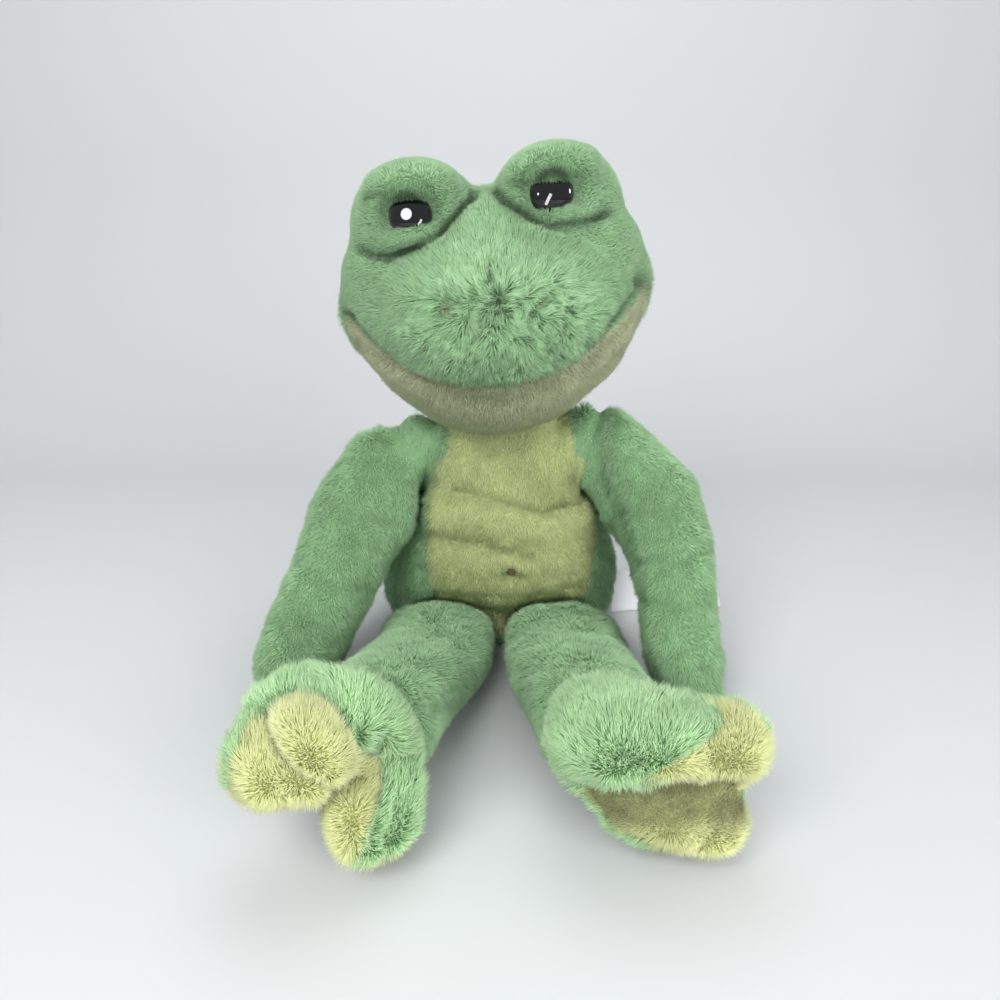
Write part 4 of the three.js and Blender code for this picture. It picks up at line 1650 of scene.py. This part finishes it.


# Creases on the arms and legs, with painted shade along them.
ARM_STROKES = {
    Side.LEFT: (
        Stroke(((628, 510), (655, 512), (683, 504)), -1.6, 6, 0.16),
        Stroke(((642, 561), (675, 561), (707, 551)), -1.6, 6, 0.16),
        Stroke(((642, 598), (672, 603), (703, 602)), -1.6, 6, 0.16),
        Stroke(((690, 612), (696, 640), (702, 668)), -1.6, 5, 0.14),
    ),
    Side.RIGHT: (
        Stroke(((330, 500), (355, 520), (392, 520)), -1.4, 7, 0.12),
        Stroke(((300, 560), (330, 585), (365, 588)), -1.4, 7, 0.12),
        Stroke(((276, 622), (300, 640), (330, 645)), -1.2, 7, 0.1),
    ),
}
LEG_STROKES = {
    Side.LEFT: (
        Stroke(((520, 668), (560, 672), (610, 650)), -1.4, 8, 0.12),
        Stroke(((512, 640), (530, 625), (560, 612)), -1.2, 7, 0.1),
    ),
    Side.RIGHT: (
        Stroke(((360, 640), (400, 652), (445, 640)), -1.4, 8, 0.12),
        Stroke(((402, 700), (430, 712), (455, 702)), -1.4, 8, 0.14),
    ),
}


@dataclass
class Foot:
    """A cupped foot: a green upper and lime toes.

    The outline is the lime toes' in the picture, and the lobes are the places that the pile
    is combed away from, in millimetres.
    """

    side: Side
    outline: tuple[Pair, ...]
    lobes: tuple[Triple, ...]
    strokes: tuple[Stroke, ...]
    tone: float = 0.92
    pile: float = 7.8 * MM
    lean: float = 40.0
    sole_reach: float = 1.0 * MM

    @property
    def body(self) -> str:
        """The body that it rides on."""
        return f"foot_{self.side.word}"

    def build(self, looks: Finishes) -> Form:
        """Builds the foot's form, its backing and what its pile needs.

        Args:
            looks: The frog's finishes.

        Returns:
            The form.
        """
        word = self.side.word
        sole_node = f"foot_sole_{word}"
        nodes = (f"foot_upper_{word}", f"foot_filling_{word}")
        form = Form.of_nodes(*nodes, sole_node).remeshed(FINE_VOXEL).smoothed(8)
        under = form.distances(Form.of_nodes(sole_node).tree()) < self.sole_reach
        drawn_in(form, self.pile, self.lean, self.strokes)
        ahead = VIEW.facing(form) > 0.08
        lower = under & (form.normals()[:, 2] < 0.2)
        sole = np.where(ahead, within(self.outline, VIEW.seen(form.points)), lower)
        centres = np.array(self.lobes) * MM
        away = form.points[:, None] - centres[None]
        nearest = np.linalg.norm(away, axis=2).argmin(axis=1)
        comb = 0.5 * unit(away[np.arange(len(away)), nearest]) + np.array([0, 0.3, 0.66])
        comb += 0.4 * GRAIN.slope(form.points + 0.9, 14 * MM)
        soft = form.evened(sole.astype(float), 3)
        lay(form, self.pile * (1 - 0.2 * soft), self.lean, comb, self.tone, 0.9 - 0.4 * soft)
        form.coat["sole"] = (form.evened(sole.astype(float), 2) > 0.5).astype(float)
        cloth, name = (looks.lime, form.coat["sole"]), f"{self.body}_backing"
        add_backing(name, form, self.body, "pile_green", looks.mint, *nodes, panel=cloth)
        return form

    def dress(self, form: Form, looks: Finishes) -> None:
        """Grows the foot's pile.

        Args:
            form: The foot's form with its coat.
            looks: The frog's finishes.
        """
        word, sole = self.side.word, form.coat["sole"]
        mint, lime = (self.body, "pile_green", looks.mint), (self.body, "pile_lime", looks.lime)
        upper = Pile(f"foot_fur_{word}", *mint, 3.4, 0.27 * MM, True, seed=11)
        upper.grow(form, 1 - sole)
        toes = (f"foot_sole_{word}",)
        under = Pile(f"sole_fur_{word}", *lime, 5.0, 0.28 * MM, seed=12, replaced=toes)
        under.grow(form, sole)


RIGHT_FOOT = Foot(
    Side.RIGHT,
    (
        (240, 756), (244, 739), (255, 728), (271, 720), (279, 708), (294, 702), (312, 704),
        (328, 711), (337, 727), (349, 746), (364, 757), (380, 765), (379, 790), (371, 808),
        (364, 824), (357, 848), (351, 868), (340, 862), (326, 840), (316, 822), (300, 820),
        (270, 822), (250, 812), (238, 795), (236, 772),
    ),
    (
        (-90.8, -255, 55.8), (-71.5, -255, 63), (-55.6, -255, 38.8), (-50, -245, 68.6),
        (-40.7, -240, 25.2),
    ),
    # Creases between the toes with painted shade along them, and bulges on the toes.
    (
        Stroke(
            ((271, 716), (275, 735), (283, 754), (297, 769), (316, 781), (334, 790)), -4.5, 5, 0.5
        ),
        Stroke(
            ((279, 707), (296, 700), (314, 702), (331, 711), (340, 728), (352, 745), (380, 764)),
            -2.5, 4, 0.25,
        ),
        Stroke(((381, 765), (380, 790), (366, 822), (355, 862)), -2.0, 4, 0.18),
        Stroke(((372, 746), (402, 758)), -3.5, 7, 0.3),
        Stroke(((326, 803), (336, 790), (352, 780)), -5.0, 5, 0.5),
        Stroke(((268, 712), (245, 722), (236, 745), (233, 775), (243, 795)), -1.5, 5, 0.12),
        Stroke(((377, 739), (379, 742)), -4.0, 5, 0.5),
        Stroke(((258, 765), (268, 780)), 3.0, 22),
        Stroke(((300, 725), (322, 752)), 5.0, 24),
        Stroke(((348, 815), (352, 840)), 3.5, 20),
        Stroke(((397, 790), (398, 835)), 2.0, 18),
    ),
)
LEFT_FOOT = Foot(
    Side.LEFT,
    (
        (708, 709), (720, 706), (745, 712), (764, 720), (774, 732), (778, 752), (752, 774),
        (755, 790), (752, 810), (746, 822), (740, 845), (725, 860), (705, 860), (680, 850),
        (650, 838), (620, 828), (595, 815), (575, 800), (560, 788), (600, 786), (645, 775),
        (672, 762), (697, 745), (718, 739), (726, 727), (720, 714),
    ),
    ((51.1, -240, 60.9), (95.7, -235, 59.3), (71, -240, 27.3), (86.5, -240, 14.4)),
    # Creases between the toes with painted shade along them, and bulges on the toes.
    (
        Stroke(((556, 781), (600, 784), (650, 785), (700, 783), (745, 779)), -7.0, 6, 0.75),
        # Painted shadow that the upper lobe casts on the lower one, pressed no deeper.
        Stroke(((575, 800), (650, 810), (745, 806)), 0.0, 21, 0.72),
        Stroke(((706, 700), (724, 698), (748, 708), (768, 716)), -2.5, 4, 0.24),
        Stroke(((720, 714), (726, 727), (718, 739), (697, 745), (672, 762)), -1.5, 5, 0.12),
        Stroke(((600, 740), (660, 730)), 2.0, 30),
        Stroke(((745, 740), (742, 755)), 2.0, 22),
        Stroke(((640, 805), (720, 815)), 1.5, 18),
    ),
    0.84,
)


@dataclass
class Eye:
    """A glossy plastic eye: a dome with a flange, and the stem that its washer locks on."""

    side: Side
    radius: float = 11.5 * MM
    dome: float = 7 * MM
    flange: float = 1.6 * MM
    bevel: float = 0.5 * MM
    stem_radius: float = 2.2 * MM
    stem_length: float = 9 * MM
    rings: int = 28
    around: int = 72

    def build(self, head: Head, looks: Finishes) -> None:
        """Builds the eye in place of its solid.

        Args:
            head: The head that it is locked into.
            looks: The frog's finishes.
        """
        back = -self.flange - self.stem_length
        profile = [(0.0, back), (self.stem_radius, back), (self.stem_radius, -self.flange)]
        profile.append((self.radius - self.bevel, -self.flange))
        profile.append((self.radius, -self.flange + self.bevel))
        for i in range(self.rings):
            turn = math.pi / 2 * i / self.rings
            profile.append((self.radius * math.cos(turn), self.dome * math.sin(turn)))
        profile.append((0.0, self.dome))
        form = lathed(profile, self.around)
        share = np.hypot(form.points[:, 0], form.points[:, 1]) / self.radius
        forwards = np.array([[1.0, 0, 0], [0, 0, 1], [0, -1, 0]])
        form.points = form.points @ forwards @ head.matrix().T + head.eye(self.side)
        name = f"eye_{self.side.word}_plastic"
        mesh = form.mesh(name, smooth=True)
        map_tones(mesh, np.full(len(share), 0.5), share)
        piece = add_piece(name, mesh, "head", "gloss_black", looks.gloss)
        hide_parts(f"eye_{self.side.word}")


def lathed(profile: Sequence[Pair], around: int) -> Form:
    """Makes a closed turned form about Z.

    Args:
        profile: Its radii and heights, which start and end on the axis.
        around: How many points go round it.

    Returns:
        The form.
    """
    points = [(0.0, 0.0, profile[0][1])]
    for radius, height in profile[1:-1]:
        for j in range(around):
            turn = 2 * math.pi * j / around
            points.append((radius * math.cos(turn), radius * math.sin(turn), height))
    points.append((0.0, 0.0, profile[-1][1]))
    return Form(np.array(points), tube_faces(len(profile) - 2, around))


@dataclass
class Stitch:
    """A few bars of thick thread sewn side by side.

    Proud is how far its middle stands off the form, apart the way between two bars by their
    radius, shorter what each bar loses of its span away from the middle one, and past how
    much of a half turn each end goes on below the arch.
    """

    node: str
    body: str
    span: float = 5.0 * MM
    rise: float = 1.6 * MM
    radius: float = 0.5 * MM
    bars: int = 5
    upright: bool = False
    proud: float = 1.2 * MM
    apart: float = 1.5
    shorter: float = 0.1
    past: float = 0.125
    steps: int = 18
    around: int = 10

    def build(self, form: Form, looks: Finishes) -> None:
        """Builds the stitch in place of its solid.

        Args:
            form: The form that it is sewn to.
            looks: The frog's finishes.
        """
        low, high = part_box(self.node)
        place, normal, _, _ = form.tree().find_nearest((low + high) / 2)
        middle = np.array(place + self.proud * normal)
        name = f"{self.node}_thread"
        bars = Form.joined(self.bar(number, middle) for number in range(self.bars))
        mesh = bars.mesh(name, smooth=True)
        piece = add_piece(name, mesh, self.body, "thread_brown", looks.thread)
        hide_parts(self.node)

    def bar(self, number: int, middle: Array) -> Form:
        """Makes one bar of thread: an arch with both its ends sunk in the form.

        Args:
            number: The bar's number, from 0.
            middle: The stitch's middle.

        Returns:
            The bar.
        """
        off = number - (self.bars - 1) / 2
        half = 0.5 * self.span * (1 - self.shorter * abs(off))
        sideways = np.array([0, 1, 0])
        ring = []
        for i in range(self.steps + 1):
            turn = math.pi * ((1 + 2 * self.past) * i / self.steps - self.past)
            cos, sin = math.cos(turn), math.sin(turn)
            across = unit(np.cross([half * sin, 0, self.rise * cos], sideways))
            centre = np.array([-half * cos, off * self.apart * self.radius, self.rise * sin])
            for j in range(self.around):
                angle = 2 * math.pi * j / self.around
                spoke = math.cos(angle) * across + math.sin(angle) * sideways
                ring.append(centre + self.radius * spoke)
        first = np.mean(ring[: self.around], axis=0)
        final = np.mean(ring[-self.around :], axis=0)
        points = np.array([first, *ring, final])
        faces = tube_faces(self.steps + 1, self.around)
        if self.upright:
            points, faces = points[:, [1, 0, 2]], faces[:, ::-1]
        frontal = np.stack([points[:, 0], -points[:, 2], points[:, 1]], axis=1)
        return Form(frontal + middle, faces)


@dataclass
class Label:
    """A bare satin label, sewn into the side seam and standing on its edge.

    Its path is how far back it runs along its length, in shares of the length, and its lean
    is from the floor at its start and its end, in degrees.
    """

    length: float = 78 * MM
    width: float = 28 * MM
    thick: float = 0.35 * MM
    hem: float = 0.4 * MM
    hem_share: float = 0.07
    start: Triple = (76 * MM, 6 * MM, 0.7 * MM)
    path: tuple[Pair, ...] = (
        (0, 0), (0.25, 0.05), (0.5, 0.01), (0.75, 0.06), (1, 0.12),
    )
    lean: Pair = (82.0, 34.0)
    ripple: float = 0.9 * MM
    ripples: float = 9.0
    steps: int = 60
    rows: int = 18

    def build(self, looks: Finishes) -> None:
        """Builds the label in place of its solid.

        Args:
            looks: The frog's finishes.
        """
        share, up = np.linspace(0, 1, self.steps + 1), np.linspace(0, 1, self.rows + 1)
        smooth = np.interp(share, *zip(*self.path))
        for _ in range(40):
            smooth[1:-1] = (smooth[:-2] + 2 * smooth[1:-1] + smooth[2:]) / 4
        tilt = np.radians(self.lean[0] + (self.lean[1] - self.lean[0]) * share)
        none = np.zeros_like(tilt)
        rise = np.stack([none, np.cos(tilt), np.sin(tilt)], axis=1)
        through = np.stack([none, -np.sin(tilt), np.cos(tilt)], axis=1)[:, None]
        low = np.stack([share * self.length, smooth * self.length, none], axis=1)
        low += np.array(self.start)
        ripple = self.ripple * np.sin(self.ripples * share)[:, None] * up[None] ** 2
        place = low[:, None] + rise[:, None] * (up * self.width)[None, :, None]
        place += through * ripple[..., None]
        edge = (up < self.hem_share) | (up > 1 - self.hem_share)
        half = 0.5 * np.where(edge, self.thick + self.hem, self.thick)[None, :, None]
        sides = [(place + sign * through * half).reshape(-1, 3) for sign in (-1, 1)]
        mesh = Form(np.concatenate(sides), self.faces()).mesh("label_satin", smooth=True)
        piece = add_piece("label_satin", mesh, "torso", "satin_white", looks.satin)
        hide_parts("side_label")

    def faces(self) -> Array:
        """Joins the points of the label's two sides.

        Returns:
            The faces of both sides and the rim, three point numbers a row.
        """
        across, count = self.rows + 1, (self.steps + 1) * (self.rows + 1)
        faces = []
        for i in range(self.steps):
            for j in range(self.rows):
                a = i * across + j
                b, c, d = a + 1, a + across, a + across + 1
                faces += [(a, c, d), (a, d, b)]
                faces += [(count + a, count + d, count + c), (count + a, count + b, count + d)]
        rim = [i * across for i in range(self.steps + 1)]
        rim += [self.steps * across + j for j in range(1, across)]
        rim += [i * across + self.rows for i in range(self.steps - 1, -1, -1)]
        rim += [j for j in range(self.rows - 1, 0, -1)]
        for a, b in zip(rim, (*rim[1:], rim[0])):
            faces += [(b, a, count + a), (b, count + a, count + b)]
        return np.array(faces, np.int64)


class Studio:
    """The floor, the backdrop and the lamps."""

    SOFT = (
        ("key", (-0.45, -1.1, 0.8), (0, -0.1, 0.12), 0.8, 13.0),
        ("fill", (0.6, -1.1, 0.4), (0, -0.1, 0.12), 0.8, 9.0),
        ("top", (0.0, 0.1, 1.1), (0, -0.05, 0.1), 0.8, 3.5),
    )
    GLINTS = (
        ("spot", Side.RIGHT, (406, 214), 0.17, 0.17, 0.0),
        ("slat", Side.RIGHT, (419, 224), 0.045, 0.17, -30.0),
        ("strip", Side.LEFT, (548, 200), 0.045, 0.22, -27.0),
        ("dot", Side.LEFT, (538, 194), 0.04, 0.04, 0.0),
        ("drop", Side.LEFT, (570, 191), 0.06, 0.06, 0.0),
    )
    # How far a glint's lamp hangs from the eye, and its power in watts to the square metre.
    GLINT_GAP = 0.25
    GLINT_POWER = 60.0
    # The backdrop's front edge, its half width, and the radius, steps and top of its bend.
    FRONT = -1.6
    HALF_WIDTH = 2.2
    BEND = 0.35
    BEND_STEPS = 12
    TOP = 2.2

    def build(self, head: Head) -> None:
        """Builds them all.

        Args:
            head: The head, whose eyes reflect some of the lamps.
        """
        bpy.context.scene.view_settings.view_transform = "Standard"
        self.backdrop()
        self.world()
        for values in self.SOFT:
            self.lamp(*values)
        for values in self.GLINTS:
            self.glint(head, *values)

    def glint(
        self,
        head: Head,
        name: str,
        side: Side,
        at: Pair,
        wide: float,
        high: float,
        turn: float,
    ) -> None:
        """Hangs a lamp that only an eye reflects, its glint at a place in the picture.

        Args:
            head: The head.
            name: The lamp's name.
            side: The eye's side.
            at: Where the glint falls, across and down.
            wide: The lamp's width in metres.
            high: The lamp's height in metres.
            turn: The lamp's turn about its own axis, in degrees.
        """
        eye, matrix = head.eye(side), head.matrix()
        own_place = (np.array(VIEW.place) - eye) @ matrix
        own_ray = VIEW.ray(*at) @ matrix
        size = np.array([Eye.radius, Eye.dome, Eye.radius])
        a = ((own_ray / size) ** 2).sum()
        b = (own_place * own_ray / size**2).sum()
        c = ((own_place / size) ** 2).sum() - 1
        reach = (-b - math.sqrt(max(b * b - a * c, 0.0))) / a
        hit = own_place + reach * own_ray
        normal = unit(hit / size**2)
        bounce = (own_ray - 2 * (own_ray @ normal) * normal) @ matrix.T
        spot = eye + hit @ matrix.T
        power = self.GLINT_POWER * wide * high
        lamp = self.lamp(name, spot + self.GLINT_GAP * bounce, spot, wide, power, high)
        own_turn = Matrix.Rotation(math.radians(turn), 3, "Z").to_quaternion()
        aim = Vector(-bounce).to_track_quat("-Z", "Y")
        lamp.rotation_euler = (aim @ own_turn).to_euler()
        lamp.visible_glossy = True
        lamp.visible_diffuse = False
        only = bpy.data.collections.new(f"{name}_eye")
        only.objects.link(bpy.data.objects[f"eye_{side.word}_plastic"])
        lamp.light_linking.receiver_collection = only

    def backdrop(self) -> None:
        """Makes a floor that curves up into a wall."""
        profile = [(self.FRONT, 0.0), (self.BEND, 0.0)]
        for i in range(1, self.BEND_STEPS + 1):
            turn = math.pi / 2 * i / self.BEND_STEPS
            y = self.BEND + self.BEND * math.sin(turn)
            profile.append((y, self.BEND - self.BEND * math.cos(turn)))
        profile.append((2 * self.BEND, self.TOP))
        sides = (-self.HALF_WIDTH, self.HALF_WIDTH)
        points = [(x, y, z) for x in sides for y, z in profile]
        count = len(profile)
        faces = [(i, i + 1, count + i + 1, count + i) for i in range(count - 1)]
        mesh = bpy.data.meshes.new("backdrop")
        mesh.from_pydata(points, [], faces)
        mesh.polygons.foreach_set("use_smooth", [True] * len(faces))
        made = bpy.data.objects.new("backdrop", mesh)
        bpy.context.scene.collection.objects.link(made)
        look = {"Base Color": linear((200, 202, 203)), "Roughness": 0.9}
        mesh.materials.append(new_material("paper", look)[0])
        made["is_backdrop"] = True

    def world(self) -> None:
        """Even light from all round."""
        world = bpy.data.worlds.new("room")
        world.use_nodes = True
        back = world.node_tree.nodes["Background"]
        back.inputs["Color"].default_value = (0.9, 0.93, 0.96, 1)
        back.inputs["Strength"].default_value = 0.62
        bpy.context.scene.world = world

    def lamp(
        self,
        name: str,
        place: Sequence[float],
        aim: Sequence[float],
        size: float,
        power: float,
        high: Optional[float] = None,
    ) -> Object:
        """Hangs a soft lamp that shows neither itself nor its glint.

        Args:
            name: The lamp's name.
            place: Where it hangs.
            aim: Where it points.
            size: Its width in metres.
            power: Its power in watts.
            high: Its height in metres, or None for a round lamp.

        Returns:
            The lamp.
        """
        data = bpy.data.lights.new(name, "AREA")
        data.size = size
        data.shape = "DISK" if high in (None, size) else "RECTANGLE"
        if high is not None:
            data.size_y = high
        data.energy = power
        made = bpy.data.objects.new(name, data)
        made.location = place
        made.rotation_euler = (Vector(aim) - Vector(place)).to_track_quat("-Z", "Y").to_euler()
        made.visible_glossy = False
        made.visible_camera = False
        bpy.context.scene.collection.objects.link(made)
        return made


NEIGHBOURS = {
    "head": ("torso",),
    "neck": ("head", "torso"),
    "torso": ("head", "arm_left", "arm_right", "leg_left", "leg_right"),
    "arm_right": ("torso", "leg_right", "foot_right"),
    "arm_left": ("torso", "leg_left", "foot_left"),
    "leg_right": ("torso", "arm_right", "foot_right", "leg_left"),
    "leg_left": ("torso", "arm_left", "foot_left", "leg_right"),
    "foot_right": ("leg_right", "arm_right"),
    "foot_left": ("leg_left", "arm_left"),
}


def main() -> None:
    """Builds the frog, its pile and the studio."""
    logging.basicConfig(level=logging.INFO, format="%(message)s", stream=sys.stdout)
    VIEW.build()
    looks = Finishes()
    parts: dict[str, Head | Torso | Neck | Limb | Foot] = {
        "head": Head(),
        "torso": Torso(),
        "neck": Neck(),
    }
    for side in Side:
        arm = Limb("arm", side, ARM_STROKES[side], tone=0.8)
        leg = Limb("leg", side, LEG_STROKES[side], way=(0, -0.6, -0.8), tone=0.74)
        parts.update({arm.body: arm, leg.body: leg})
    parts["foot_right"] = RIGHT_FOOT
    parts["foot_left"] = LEFT_FOOT
    forms = {name: part.build(looks) for name, part in parts.items()}
    for name, form in forms.items():
        form.coat["room"] = form.room([forms[other].shell for other in NEIGHBOURS[name]])
    for name, part in parts.items():
        part.dress(forms[name], looks)
    for side in Side:
        Eye(side).build(parts["head"], looks)
        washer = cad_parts[f"eye_washer_{side.word}"]
        washer.material_slots[0].material = looks.lock
        nostril = Stitch(f"nostril_{side.word}", "head", 4.0 * MM, 1.3 * MM, bars=4, upright=True)
        nostril.build(forms["head"], looks)
    Stitch("navel_stitch", "torso", 4.2 * MM, 1.5 * MM).build(forms["torso"], looks)
    Label().build(looks)
    Studio().build(parts["head"])
    total = sum(len(piece.data.polygons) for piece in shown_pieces() if piece.type == "MESH")
    log.info("faces in all: %d", total)


if __name__ == "__main__":
    main()
